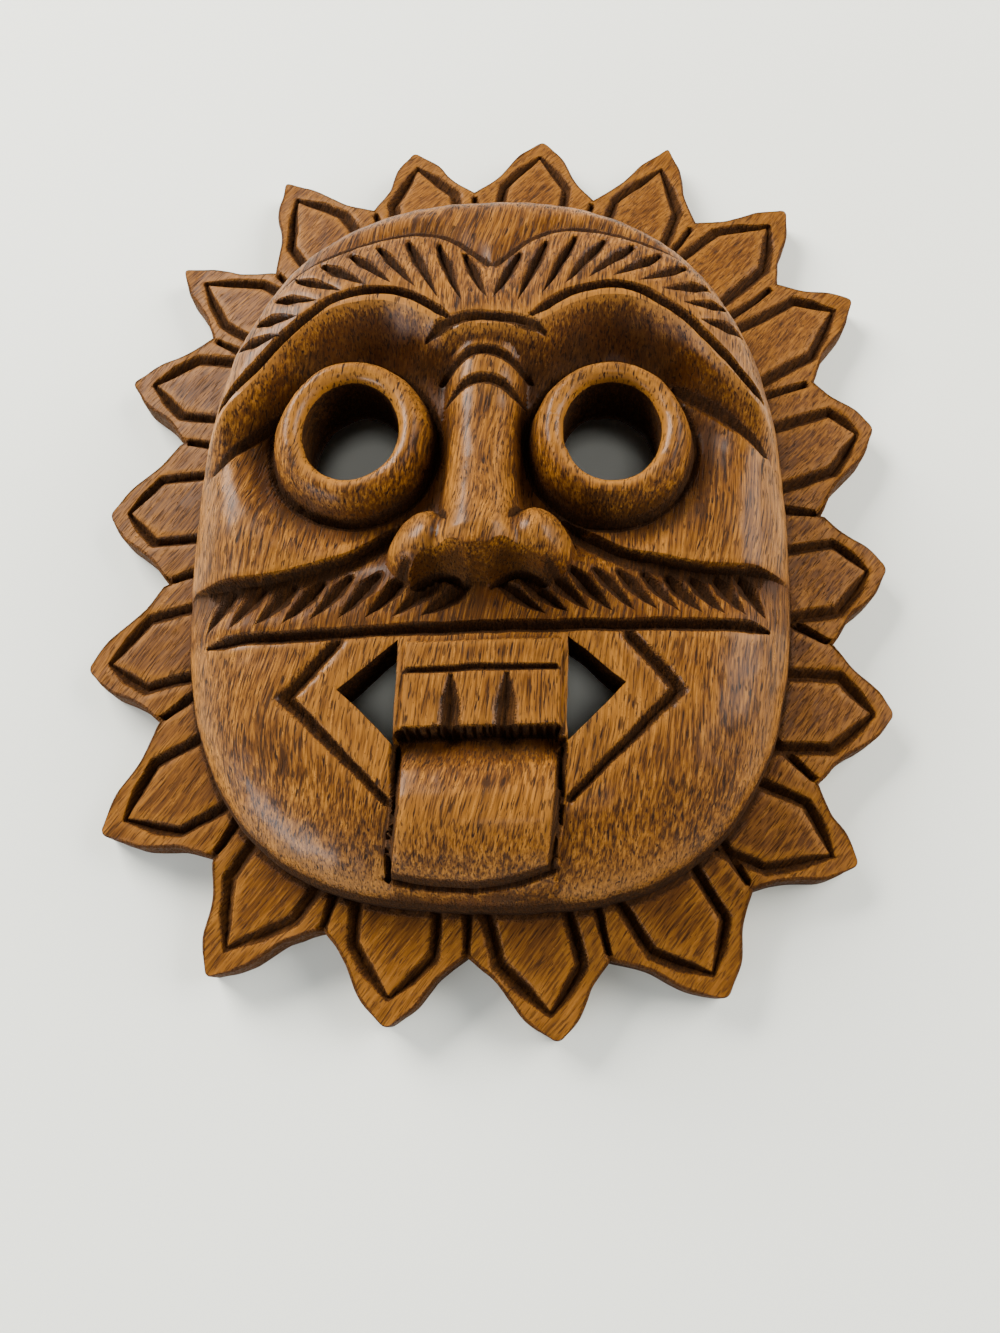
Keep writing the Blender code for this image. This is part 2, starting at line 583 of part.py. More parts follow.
def face_surface(x, y, radius):
    """Height of the uncut face: the rounded block with its brows, eyes, cheeks, nose, teeth and tongue."""
    u, v = x / SQUARE_ACROSS, y / SQUARE_UP
    level = v - SLANT * u
    upper = smooth_step((v - SHOULDER_CHANGE[0]) / (SHOULDER_CHANGE[1] - SHOULDER_CHANGE[0]))
    shoulder_width = JAW_SHOULDER_WIDTH + (TOP_SHOULDER_WIDTH - JAW_SHOULDER_WIDTH) * upper
    inward = np.clip((1.0 - radius) * FACE_HALF_WIDTH / shoulder_width, 0.0, 1.0)
    fade = smooth_step(inward * RELIEF_START)
    dome = SHOULDER_HEIGHT * np.sqrt(1.0 - (1.0 - inward) ** 2) + FACE_CROWN * (1.0 - radius**2) * fade
    surface = dome + brow_mass(u, v) * fade
    cheek_across = (np.abs(u) - CHEEK_PLACE[0]) / CHEEK_REACH[0]
    cheek_up = (level - CHEEK_PLACE[1]) / CHEEK_REACH[1]
    surface += CHEEK_HEIGHT * np.exp(-cheek_across**2 - cheek_up**2) * fade
    for side in (-1, 1):
        ring, out = eye_ring_height(x, y, side)
        surface -= SOCKET_DEPTH * (1.0 - smooth_step((out - 1.0) / SOCKET_REACH)) * fade
        surface = np.maximum(surface, ring + SHOULDER_HEIGHT)
    surface = np.maximum(surface, nose_height(u, level) + SHOULDER_HEIGHT)
    edge = np.minimum(TEETH_HALF_WIDTH - np.abs(u), np.minimum(level - TEETH_BOTTOM, TEETH_TOP - level))
    surface += TEETH_RAISE * np.clip(edge / TEETH_EDGE, 0.0, 1.0)
    levels, raises = (np.array(column)[::-1] for column in zip(*TONGUE_PROFILE))
    on_tongue = (np.abs(u - TONGUE_MIDDLE) < TONGUE_HALF_WIDTH) & (level < levels[-1]) & (level > levels[0])
    rounding = TONGUE_CROWN * (1.0 - ((u - TONGUE_MIDDLE) / TONGUE_HALF_WIDTH) ** 2)
    surface += np.where(on_tongue, np.interp(level, levels, raises) + rounding, 0.0)
    return ROOT_THICKNESS + surface


def deepest(cuts, x, y):
    """The depth of the deepest of the cuts at each place."""
    depth = np.zeros(len(x))
    for cut in cuts:
        depth = np.maximum(depth, cut.depth_at(x, y))
    return depth


def front_height(x, y, petals, slopes, cuts):
    """Height of the carved front over the back plane."""
    radius = face_radius(x, y)
    reach = np.clip((radius - 1.0) * FACE_HALF_WIDTH / (FACE_LAND + RAY_LENGTH), 0.0, 1.0)
    plate = ROOT_THICKNESS + (TIP_THICKNESS - ROOT_THICKNESS) * reach - deepest(petals, x, y)
    face = face_surface(x, y, radius) - deepest(slopes, x, y) - deepest(cuts, x, y)
    return np.where(radius < FOOT_SHARE, face, plate)


def hollow_height(x, y):
    """Height of the hollow behind the face over the back plane, 0 on the rim."""
    radius = face_radius(x, y, FACE_HALF_WIDTH - RIM_WIDTH, FACE_HALF_LENGTH - RIM_WIDTH)
    return HOLLOW_DEPTH * np.sqrt(np.clip(1.0 - radius**4, 0.0, 1.0))


def inside(points, loop):
    """Which points lie inside a closed loop."""
    x, y = points[:, 0], points[:, 1]
    crossings = np.zeros(len(points), int)
    for start, end in zip(loop, np.roll(loop, -1, axis=0)):
        straddles = (start[1] > y) != (end[1] > y)
        rise = end[1] - start[1]
        meet = start[0] + (y - start[1]) / (rise if rise else 1e-12) * (end[0] - start[0])
        crossings += straddles & (x < meet)
    return crossings % 2 == 1


def clear_of(points, loops, clearance):
    """The points that stay a distance away from every loop."""
    keep = np.ones(len(points), bool)
    for loop in loops:
        for start, end in zip(loop, np.roll(loop, -1, axis=0)):
            run = end - start
            away = points - start
            along = np.clip(away @ run / (run @ run), 0.0, 1.0)
            keep &= np.hypot(*(away - along[:, None] * run).T) > clearance
    return points[keep]


def steepness(corners, levels):
    """How much longer each facet is than its plan: 1 where level, and more where it leans."""
    run_one, run_two = corners[:, 1] - corners[:, 0], corners[:, 2] - corners[:, 0]
    rise_one, rise_two = levels[:, 1] - levels[:, 0], levels[:, 2] - levels[:, 0]
    area = run_one[:, 0] * run_two[:, 1] - run_one[:, 1] * run_two[:, 0]
    slope_x = (rise_one * run_two[:, 1] - rise_two * run_one[:, 1]) / area
    slope_y = (rise_two * run_one[:, 0] - rise_one * run_two[:, 0]) / area
    return np.sqrt(1.0 + slope_x**2 + slope_y**2)


class Drawing:
    """Points and lines on the plane, from which a surface is cut into triangles."""

    def __init__(self):
        self.points = []
        self.lines = []

    def add_points(self, points):
        """Add loose points."""
        self.points += [tuple(point) for point in points]

    def add_line(self, line, closed=False):
        """Add a line whose runs stay edges of the triangles."""
        first = len(self.points)
        self.add_points(line)
        last = len(self.points) - 1
        self.lines += [(index, index + 1) for index in range(first, last)]
        if closed:
            self.lines.append((last, first))

    def triangles(self, outer, holes):
        """The triangles inside the outer loop and outside the holes, wound anticlockwise."""
        coordinates = [Vector(point) for point in self.points]
        made = delaunay_2d_cdt(coordinates, self.lines, [], 0, MERGE_DISTANCE)
        points = np.array([tuple(point) for point in made[0]])
        faces = np.array([tuple(face) for face in made[2]])
        corners = points[faces]
        middles = corners.mean(axis=1)
        keep = inside(middles, outer)
        for hole in holes:
            keep &= ~inside(middles, hole)
        edge_one, edge_two = corners[:, 1] - corners[:, 0], corners[:, 2] - corners[:, 0]
        area = edge_one[:, 0] * edge_two[:, 1] - edge_one[:, 1] * edge_two[:, 0]
        faces = np.where((area > 0)[:, None], faces, faces[:, ::-1])[keep]
        used = np.unique(faces)
        renumbered = np.zeros(len(points), int)
        renumbered[used] = np.arange(len(used))
        return points[used], renumbered[faces]

    def refine(self, height, outer, holes, tolerance, gap, rounds):
        """Add points where the facets stray furthest from the surface, and return the triangles."""
        for _ in range(rounds):
            points, faces = self.triangles(outer, holes)
            levels = height(points)
            corners, corner_levels = points[faces], levels[faces]
            samples = [corners.mean(axis=1)]
            guesses = [corner_levels.mean(axis=1)]
            spans = np.hypot(*(corners - np.roll(corners, 1, axis=1)).transpose(2, 0, 1)).max(axis=1)
            allowed = [spans > gap * 1.6]
            directed = {(int(face[i]), int(face[(i + 1) % 3])) for face in faces for i in range(3)}
            for one, two in ((0, 1), (1, 2), (2, 0)):
                samples.append((corners[:, one] + corners[:, two]) / 2)
                guesses.append((corner_levels[:, one] + corner_levels[:, two]) / 2)
                shared = [(int(face[two]), int(face[one])) in directed for face in faces]
                allowed.append((spans > gap * 1.6) & np.array(shared))
            samples, guesses = np.vstack(samples), np.concatenate(guesses)
            lean = np.tile(steepness(corners, corner_levels), len(samples) // len(faces))
            error = np.where(np.concatenate(allowed), np.abs(height(samples) - guesses) / lean, 0.0)
            order = np.argsort(-error, kind="stable")
            order = order[error[order] > tolerance]
            cells = np.floor(samples[order] / gap).astype(int)
            _, first = np.unique(cells, axis=0, return_index=True)
            self.add_points(samples[order][np.sort(first)])
        return self.triangles(outer, holes)


def crest_lines():
    """The lines where two surfaces of the face meet, which facets follow."""
    lines = [on_face(brow_line(BROW_RIDGE[:-1], side, 3), slanted=False) for side in (-1, 1)]
    across = np.linspace(-NOSE_BASE_HALF_WIDTH, NOSE_BASE_HALF_WIDTH, NOSE_BASE_POINTS) + NOSE_MIDDLE
    for level in (nose_bottom(np.abs(across - NOSE_MIDDLE)), nose_edge(across)):
        lines.append(on_face(np.column_stack([across, level])))
    for inset in (0.0, TEETH_EDGE):
        half_width = TEETH_HALF_WIDTH - inset
        top, bottom = TEETH_TOP - inset, TEETH_BOTTOM + inset
        lines.append(on_face([(-half_width, top), (half_width, top), (half_width, bottom),
                              (-half_width, bottom), (-half_width, top)]))
    return lines


def grid_points(half_width, half_length, spacing):
    """Staggered points over a rectangle."""
    rows = int(2 * half_length / (spacing * 0.866)) + 1
    columns = int(2 * half_width / spacing) + 1
    points = []
    for row in range(rows):
        for column in range(columns):
            shift = spacing / 2 if row % 2 else 0.0
            points.append((-half_width + column * spacing + shift, -half_length + row * spacing * 0.866))
    return np.array(points)


def boundary_loops(faces):
    """The open edges of a set of triangles, joined into loops in the triangles' own direction."""
    edges = {(int(face[i]), int(face[(i + 1) % 3])) for face in faces for i in range(3)}
    following = {start: end for start, end in edges if (end, start) not in edges}
    loops = []
    while following:
        start = min(following)
        loop = [start]
        step = following.pop(start)
        while step != start:
            loop.append(step)
            step = following.pop(step)
        loops.append(loop)
    return loops


def inset_loop(loop, distance):
    """A clockwise loop moved inward by a distance, corner by corner."""
    ahead = np.roll(loop, -1, axis=0) - loop
    ahead /= np.hypot(*ahead.T)[:, None]
    behind = np.roll(ahead, 1, axis=0)
    normal_ahead = np.stack([ahead[:, 1], -ahead[:, 0]], axis=1)
    normal_behind = np.stack([behind[:, 1], -behind[:, 0]], axis=1)
    mitre = normal_ahead + normal_behind
    mitre /= np.maximum((mitre * normal_ahead).sum(axis=1), 0.5)[:, None]
    return loop + mitre * distance


def matched(points, inner, outer):
    """The places on the outer loop that match points on the inner one, run by run."""
    moved = []
    runs = np.roll(inner, -1, axis=0) - inner
    outer_runs = np.roll(outer, -1, axis=0) - outer
    for point in points:
        away = point - inner
        along = np.clip((away * runs).sum(axis=1) / (runs**2).sum(axis=1), 0.0, 1.0)
        nearest = int(np.argmin(np.hypot(*(away - runs * along[:, None]).T)))
        moved.append(outer[nearest] + outer_runs[nearest] * along[nearest])
    return np.array(moved)


def mask_geometry():
    """Corners and triangles of the whole mask as one closed body."""
    tips, valleys = tips_and_valleys()
    outline = outline_points(tips, valleys)
    top_edge = inset_loop(outline, EDGE_ROUND)
    holes = [eye_circle(-1, 0.0), eye_circle(1, 0.0), mouth_hole(-1), mouth_hole(1)]
    petals, slopes, cuts = ray_cuts(tips, valleys), face_slopes(), face_cuts()

    def front(points):
        return front_height(points[:, 0], points[:, 1], petals, slopes, cuts)

    drawing = Drawing()
    drawing.add_line(top_edge, closed=True)
    for hole in holes:
        drawing.add_line(hole, closed=True)
    for share, count in SHOULDER_RINGS:
        drawing.add_line(face_ring(share, count), closed=True)
    for side in (-1, 1):
        for share in EYE_RING_SHARES:
            drawing.add_line(eye_circle(side, EYE_RING_LAND * share), closed=True)
    for cut in petals + slopes + cuts:
        for path in cut.paths():
            drawing.add_line(path)
    for line in crest_lines():
        drawing.add_line(line)
    grid = grid_points(FACE_HALF_WIDTH, FACE_HALF_LENGTH + FACE_DROP, FACE_SPACING)
    drawing.add_points(grid[face_radius(grid[:, 0], grid[:, 1]) < FACE_GRID_SHARE])
    points, faces = drawing.refine(front, top_edge, holes, FACET_TOLERANCE, FACET_GAP, REFINE_ROUNDS)

    loops = boundary_loops(faces)
    outer = max(loops, key=len)
    corners = [np.column_stack([points, front(points)])]
    all_faces = [faces]
    back = Drawing()
    back_rings = []
    start_count = len(points)
    for loop in loops:
        rings = [np.array(loop)]
        top = corners[0][loop]
        if loop is outer:
            wide = matched(points[loop], top_edge, outline)
            corners.append(np.column_stack([wide, top[:, 2] - EDGE_ROUND]))
            rings.append(np.arange(len(loop)) + start_count)
            start_count += len(loop)
            foot = wide
        else:
            foot = points[loop]
        back_rings.append((rings[-1], len(back.points)))
        for upper, lower in zip(rings, rings[1:]):
            all_faces.append(strip(upper, lower))
        back.add_line(foot, closed=True)
    foot_loops = [np.array(back.points[first:first + len(ring)]) for ring, first in back_rings]
    outer_index = [loop is outer for loop in loops].index(True)
    hollow_half_width, hollow_half_length = FACE_HALF_WIDTH - RIM_WIDTH, FACE_HALF_LENGTH - RIM_WIDTH
    for share, count in HOLLOW_RINGS:
        back.add_line(face_ring(share, count, hollow_half_width, hollow_half_length), closed=True)
    loose = face_ring(HOLLOW_LOOSE_RING, HOLLOW_LOOSE_COUNT, hollow_half_width, hollow_half_length)
    grid = grid_points(hollow_half_width, hollow_half_length + FACE_DROP, HOLLOW_SPACING)
    grid = grid[face_radius(grid[:, 0], grid[:, 1], hollow_half_width, hollow_half_length) < HOLLOW_GRID_SHARE]
    back.add_points(clear_of(np.vstack([loose, grid]), foot_loops, HOLLOW_CLEARANCE))

    def hollow(points):
        return hollow_height(points[:, 0], points[:, 1])

    back_holes = [loop for index, loop in enumerate(foot_loops) if index != outer_index]
    back_points, back_faces = back.refine(hollow, foot_loops[outer_index], back_holes, HOLLOW_TOLERANCE,
                                          FACET_GAP * 2, 2)
    corners.append(np.column_stack([back_points, hollow(back_points)]))
    all_faces.append(back_faces[:, ::-1] + start_count)
    for (ring, first), foot in zip(back_rings, foot_loops):
        nearest = [int(np.argmin(np.hypot(*(back_points - point).T))) for point in foot]
        all_faces.append(strip(ring, np.array(nearest) + start_count))
    return np.vstack(corners), np.vstack(all_faces)


def strip(upper, lower):
    """Two triangles between each pair of neighbours on two rings."""
    upper_next, lower_next = np.roll(upper, -1), np.roll(lower, -1)
    first = np.column_stack([upper, lower, lower_next])
    second = np.column_stack([upper, lower_next, upper_next])
    return np.vstack([first, second])


def wood_material():
    """Brown waxed wood."""
    material = bpy.data.materials.new("waxed_wood")
    material.use_nodes = True
    shader = material.node_tree.nodes["Principled BSDF"]
    shader.inputs["Base Color"].default_value = WOOD_COLOUR
    shader.inputs["Roughness"].default_value = WOOD_ROUGHNESS
    shader.inputs["Metallic"].default_value = 0.0
    return material


def build_mask():
    """The mask as one object, its box centred over the origin."""
    corners, faces = mask_geometry()
    corners[:, :2] -= (corners[:, :2].min(axis=0) + corners[:, :2].max(axis=0)) / 2
    mesh = bpy.data.meshes.new("sun_mask")
    mesh.from_pydata(corners.tolist(), [], faces.tolist())
    mesh.validate()
    mesh.shade_smooth()
    mesh.set_sharp_from_angle(angle=math.radians(32.0))
    mesh.materials.append(wood_material())
    mask = bpy.data.objects.new("sun_mask", mesh)
    bpy.context.collection.objects.link(mask)
    return mask


for old in list(bpy.data.objects):
    bpy.data.objects.remove(old, do_unlink=True)
build_mask()
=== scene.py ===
"""The looks of a carved wooden sun mask lying on a pale floor.

The mask is one board of open-pored hardwood: a grinning face in a ring of rays, carved, stained
dark, rubbed back to gold on its high places and waxed. Lengths are in metres, in the frame of the
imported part: +Z out of the face and +Y toward the forehead. The face is laid out in pattern
squares, a millimetre each, counted from the point between the eyes.
"""
import sys
import json
import logging
import math
from dataclasses import dataclass, field
from enum import Enum
from typing import Callable, Sequence

import bpy
import numpy as np
from mathutils import Matrix, Vector
from mathutils.geometry import delaunay_2d_cdt

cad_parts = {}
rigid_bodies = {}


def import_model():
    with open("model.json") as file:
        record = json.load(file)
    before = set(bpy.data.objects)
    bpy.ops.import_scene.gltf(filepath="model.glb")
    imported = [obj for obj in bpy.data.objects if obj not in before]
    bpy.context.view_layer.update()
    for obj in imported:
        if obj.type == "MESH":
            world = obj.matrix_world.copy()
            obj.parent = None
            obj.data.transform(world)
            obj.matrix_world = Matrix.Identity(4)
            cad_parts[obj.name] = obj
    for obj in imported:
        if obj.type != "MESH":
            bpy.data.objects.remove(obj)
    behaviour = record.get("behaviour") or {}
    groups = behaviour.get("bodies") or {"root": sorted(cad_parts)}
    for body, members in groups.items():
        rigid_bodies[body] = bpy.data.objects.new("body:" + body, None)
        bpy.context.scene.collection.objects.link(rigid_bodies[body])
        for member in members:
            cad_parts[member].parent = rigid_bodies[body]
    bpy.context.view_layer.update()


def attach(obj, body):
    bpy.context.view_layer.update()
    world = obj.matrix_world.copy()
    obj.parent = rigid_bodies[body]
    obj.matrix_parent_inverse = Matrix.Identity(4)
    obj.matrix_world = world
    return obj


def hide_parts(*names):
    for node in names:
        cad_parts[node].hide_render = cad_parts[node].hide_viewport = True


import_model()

log = logging.getLogger("sun_mask")

MILLIMETRE = 0.001
FULL_TURN = 2 * math.pi
TINY = 1e-6
HAND_CELLS = 64
FACE_GRAIN = (0.13, 0.97, -0.07)
ROW_RISE = 0.866
Array = np.ndarray
Squares = Sequence[Sequence[float]]
HeightRule = Callable[[Array], Array]


class Side(Enum):
    """A side of the face as the picture shows it, with its sign across."""

    LEFT = -1
    RIGHT = 1


def ease(amount: Array | float) -> Array:
    """Ease a share from 0 to 1.

    Args:
        amount: Any numbers; below 0 counts as 0 and above 1 as 1.

    Returns:
        The eased shares.
    """
    share = np.clip(amount, 0.0, 1.0)
    return share * share * (3.0 - 2.0 * share)


def smooth_line(corners: Squares, per_span: int) -> Array:
    """Draw a smooth curve through corners.

    Args:
        corners: The points it passes through.
        per_span: Points made from each corner to the next.

    Returns:
        The points of the curve.
    """
    points = np.array(corners, float)
    before = np.vstack([2 * points[0] - points[1], points[:-1]])
    after = np.vstack([points[1:], 2 * points[-1] - points[-2]])
    slopes = (after - before) / 2
    t = (np.arange(per_span) / per_span)[None, :, None]
    start, end = points[:-1, None], points[1:, None]
    start_share = 2 * t**3 - 3 * t**2 + 1
    spans = (start_share * start + (1 - start_share) * end + (t**3 - 2 * t**2 + t) * slopes[:-1, None]
             + (t**3 - t**2) * slopes[1:, None])
    return np.vstack([spans.reshape(-1, 2), points[-1:]])


def spaced(line: Array, count: int) -> Array:
    """Put points at even distances along a line.

    Args:
        line: The line's points.
        count: How many points to make, both ends included.

    Returns:
        The new points.
    """
    travelled = np.concatenate([[0.0], np.cumsum(np.hypot(*np.diff(line, axis=0).T))])
    wanted = np.linspace(0.0, travelled[-1], count)
    return np.stack([np.interp(wanted, travelled, line[:, axis]) for axis in (0, 1)], axis=1)


def divided(line: Array, step: float) -> Array:
    """Divide each run of a line into even steps and keep its corners.

    Args:
        line: The line's points.
        step: The longest step allowed.

    Returns:
        The line with more points.
    """
    parts = []
    for start, end in zip(line[:-1], line[1:]):
        count = max(int(math.ceil(np.hypot(*(end - start)) / step)), 1)
        parts.append(start + (end - start) * (np.arange(count) / count)[:, None])
    return np.vstack([*parts, line[-1:]])


def from_run(x: Array, y: Array, start: Array, end: Array) -> tuple[Array, ...]:
    """Measure places from a straight run.

    Args:
        x: Places across.
        y: Places up.
        start: Where the run starts.
        end: Where it ends.

    Returns:
        How far along the run each place is, its distance, and whether it is on the left.
    """
    run = end - start
    along = np.clip(((x - start[0]) * run[0] + (y - start[1]) * run[1]) / max(float(run @ run), TINY**3), 0.0, 1.0)
    away_x, away_y = x - start[0] - run[0] * along, y - start[1] - run[1] * along
    return along, np.hypot(away_x, away_y), run[0] * away_y - run[1] * away_x > 0


def distance_to(x: Array, y: Array, line: Array) -> Array:
    """Measure how far places are from a line, positive on its left side.

    Args:
        x: Places across.
        y: Places up.
        line: The line's points.

    Returns:
        The signed distances.
    """
    nearest = np.full(len(x), np.inf)
    signed = np.zeros(len(x))
    for start, end in zip(line[:-1], line[1:]):
        _, distance, on_left = from_run(x, y, start, end)
        closer = distance < nearest
        nearest = np.where(closer, distance, nearest)
        signed = np.where(closer, distance * np.where(on_left, 1.0, -1.0), signed)
    return signed


def inside(points: Array, loop: Array) -> Array:
    """Tell which points lie inside a closed loop.

    Args:
        points: The points to test.
        loop: The loop's corners.

    Returns:
        True for each point inside.
    """
    x, y = points[:, 0], points[:, 1]
    crossings = np.zeros(len(points), int)
    for start, end in zip(loop, np.roll(loop, -1, axis=0)):
        straddles = (start[1] > y) != (end[1] > y)
        rise = end[1] - start[1]
        crossings += straddles & (x < start[0] + (y - start[1]) / (rise if rise else 1e-12) * (end[0] - start[0]))
    return crossings % 2 == 1


def inset_loop(loop: Array, distance: float | Array) -> Array:
    """Move a clockwise loop inward, corner by corner.

    Args:
        loop: The loop's corners.
        distance: How far to move it, one number or one for each corner.

    Returns:
        The moved corners.
    """
    ahead = np.roll(loop, -1, axis=0) - loop
    ahead /= np.hypot(*ahead.T)[:, None]
    behind = np.roll(ahead, 1, axis=0)
    normal_ahead = np.stack([ahead[:, 1], -ahead[:, 0]], axis=1)
    normal_behind = np.stack([behind[:, 1], -behind[:, 0]], axis=1)
    mitre = normal_ahead + normal_behind
    mitre /= np.maximum((mitre * normal_ahead).sum(axis=1), 0.5)[:, None]
    return loop + mitre * np.broadcast_to(distance, len(loop))[:, None]


@dataclass(frozen=True)
class Unevenness:
    """The smooth wander of a hand over the board."""

    seed: int
    reach: float
    jitter: tuple = (0.15, 0.85)
    scoop_length: float = 1.6

    def scoops(self, x: Array, y: Array) -> Array:
        """Give the shallow scoops that a gouge leaves side by side.

        Args:
            x: Places across, in metres.
            y: Places up, in metres.

        Returns:
            0 in the middle of a scoop, rising to about 1 on the ridges between scoops.
        """
        spots = np.random.default_rng(self.seed).uniform(*self.jitter, (HAND_CELLS, HAND_CELLS, 2))
        column, row = x / self.reach + HAND_CELLS / 2, y / self.reach / self.scoop_length + HAND_CELLS / 2
        nearest = np.full(len(x), np.inf)
        for step_x in (-1, 0, 1):
            for step_y in (-1, 0, 1):
                cell_x, cell_y = np.floor(column).astype(int) + step_x, np.floor(row).astype(int) + step_y
                spot = spots[cell_y % HAND_CELLS, cell_x % HAND_CELLS]
                away = (column - cell_x - spot[:, 0]) ** 2 + (row - cell_y - spot[:, 1]) ** 2
                nearest = np.minimum(nearest, away)
        return np.minimum(nearest, 1.0)

    def at(self, x: Array, y: Array) -> Array:
        """Give the wander at places.

        Args:
            x: Places across, in metres.
            y: Places up, in metres.

        Returns:
            Numbers from -1 to 1 that change over about one reach.
        """
        table = np.random.default_rng(self.seed).uniform(-1.0, 1.0, (HAND_CELLS, HAND_CELLS))
        column, row = x / self.reach + HAND_CELLS / 2, y / self.reach + HAND_CELLS / 2
        left, low = np.floor(column).astype(int), np.floor(row).astype(int)
        share_x, share_y = ease(column - left), ease(row - low)
        lower, upper = (table[line % HAND_CELLS, left % HAND_CELLS] * (1 - share_x)
                        + table[line % HAND_CELLS, (left + 1) % HAND_CELLS] * share_x for line in (low, low + 1))
        return lower * (1 - share_y) + upper * share_y


@dataclass
class Cut:
    """A V-shaped cut along a line, pushed with a carving tool."""

    line: Array
    width: float
    depth: float
    ends: tuple[float, float] = (0.0, 0.0)
    left_width: float | None = None
    peak: float | None = None
    round_floor: float = 0.35
    full_by: float = 1.5
    # Depth from which a cut's floor is painted fully dark, with staining and painted shade.
    dark_from: float = 0.0014

    def __post_init__(self) -> None:
        """Work out the reach on each side and the depth at each point of the line."""
        self.line = np.array(self.line, float)
        count = len(self.line)
        if self.peak is None:
            swell = np.ones(count)
            swell[0], swell[-1] = self.ends
        else:
            swell = np.interp(np.linspace(0.0, 1.0, count), (0.0, self.peak, 1.0), (self.ends[0], 1.0, self.ends[1]))
        self.right = self.width / 2 * swell
        self.left = (self.width / 2 if self.left_width is None else self.left_width) * swell
        self.depths = self.depth * np.minimum(swell * self.full_by, 1.0)

    def share_at(self, x: Array, y: Array) -> tuple[Array, Array]:
        """Give how far into the cut places are, and the depth of its floor beside them.

        Args:
            x: Places across.
            y: Places up.

        Returns:
            Shares, 0 outside and on the rim and 1 on the floor line, and floor depths.
        """
        best, floor = np.zeros(len(x)), np.zeros(len(x))
        for index in range(len(self.line) - 1):
            along, distance, on_left = from_run(x, y, self.line[index], self.line[index + 1])
            left, right, depth = (values[index] + (values[index + 1] - values[index]) * along
                                  for values in (self.left, self.right, self.depths))
            share = 1.0 - distance / np.maximum(np.where(on_left, left, right), TINY)
            deeper = depth * share > floor * best
            best, floor = np.where(deeper, share, best), np.where(deeper, depth, floor)
        return best, floor

    def near(self, x: Array, y: Array) -> Array:
        """Tell which places the cut may reach.

        Args:
            x: Places across.
            y: Places up.

        Returns:
            True for each place in the cut's own box.
        """
        reach = max(self.left.max(), self.right.max())
        low, high = self.line.min(axis=0) - reach, self.line.max(axis=0) + reach
        return (x > low[0]) & (x < high[0]) & (y > low[1]) & (y < high[1])

    def paths(self) -> list[Array]:
        """Give the lines that the mesh follows.

        Returns:
            The floor line of the cut and its two rims.
        """
        run = np.gradient(self.line, axis=0)
        run /= np.maximum(np.hypot(*run.T), TINY**2)[:, None]
        normal = np.stack([-run[:, 1], run[:, 0]], axis=1)
        return [self.line, self.line + normal * self.left[:, None], self.line - normal * self.right[:, None]]


def carve(cuts: list[Cut], x: Array, y: Array) -> tuple[Array, Array]:
    """Carve every cut of a list.

    Args:
        cuts: The cuts.
        x: Places across.
        y: Places up.

    Returns:
        The depth of the deepest cut at each place, and the share into it, weighted by depth, which paints the cut
        floors dark with staining and shade.
    """
    depth, stain = np.zeros(len(x)), np.zeros(len(x))
    for cut in cuts:
        at = np.flatnonzero(cut.near(x, y))
        if len(at):
            share, floor = cut.share_at(x[at], y[at])
            rounded = share + cut.round_floor * share * (1.0 - share) * (share - 0.5)
            depth[at] = np.maximum(depth[at], floor * rounded)
            # Cut floors get darker deeper in: staining and painted shade.
            stain[at] = np.maximum(stain[at], share * np.minimum(floor / cut.dark_from, 1.0))
    return depth, stain


@dataclass(frozen=True)
class Pattern:
    """The squares in which the face is laid out on the board."""

    square_across: float
    square_up: float
    slant: float = 0.034

    def place(self, squares: Squares, side: Side = Side.RIGHT, slanted: bool = True) -> Array:
        """Turn pattern squares into metres.

        Args:
            squares: Places counted across and up.
            side: The side of the face they are for.
            slanted: Whether they follow the slant of the face.

        Returns:
            The places in metres.
        """
        points = np.array(squares, float) * (side.value, 1.0)
        if slanted:
            points[:, 1] += self.slant * points[:, 0]
        return points * (self.square_across, self.square_up)


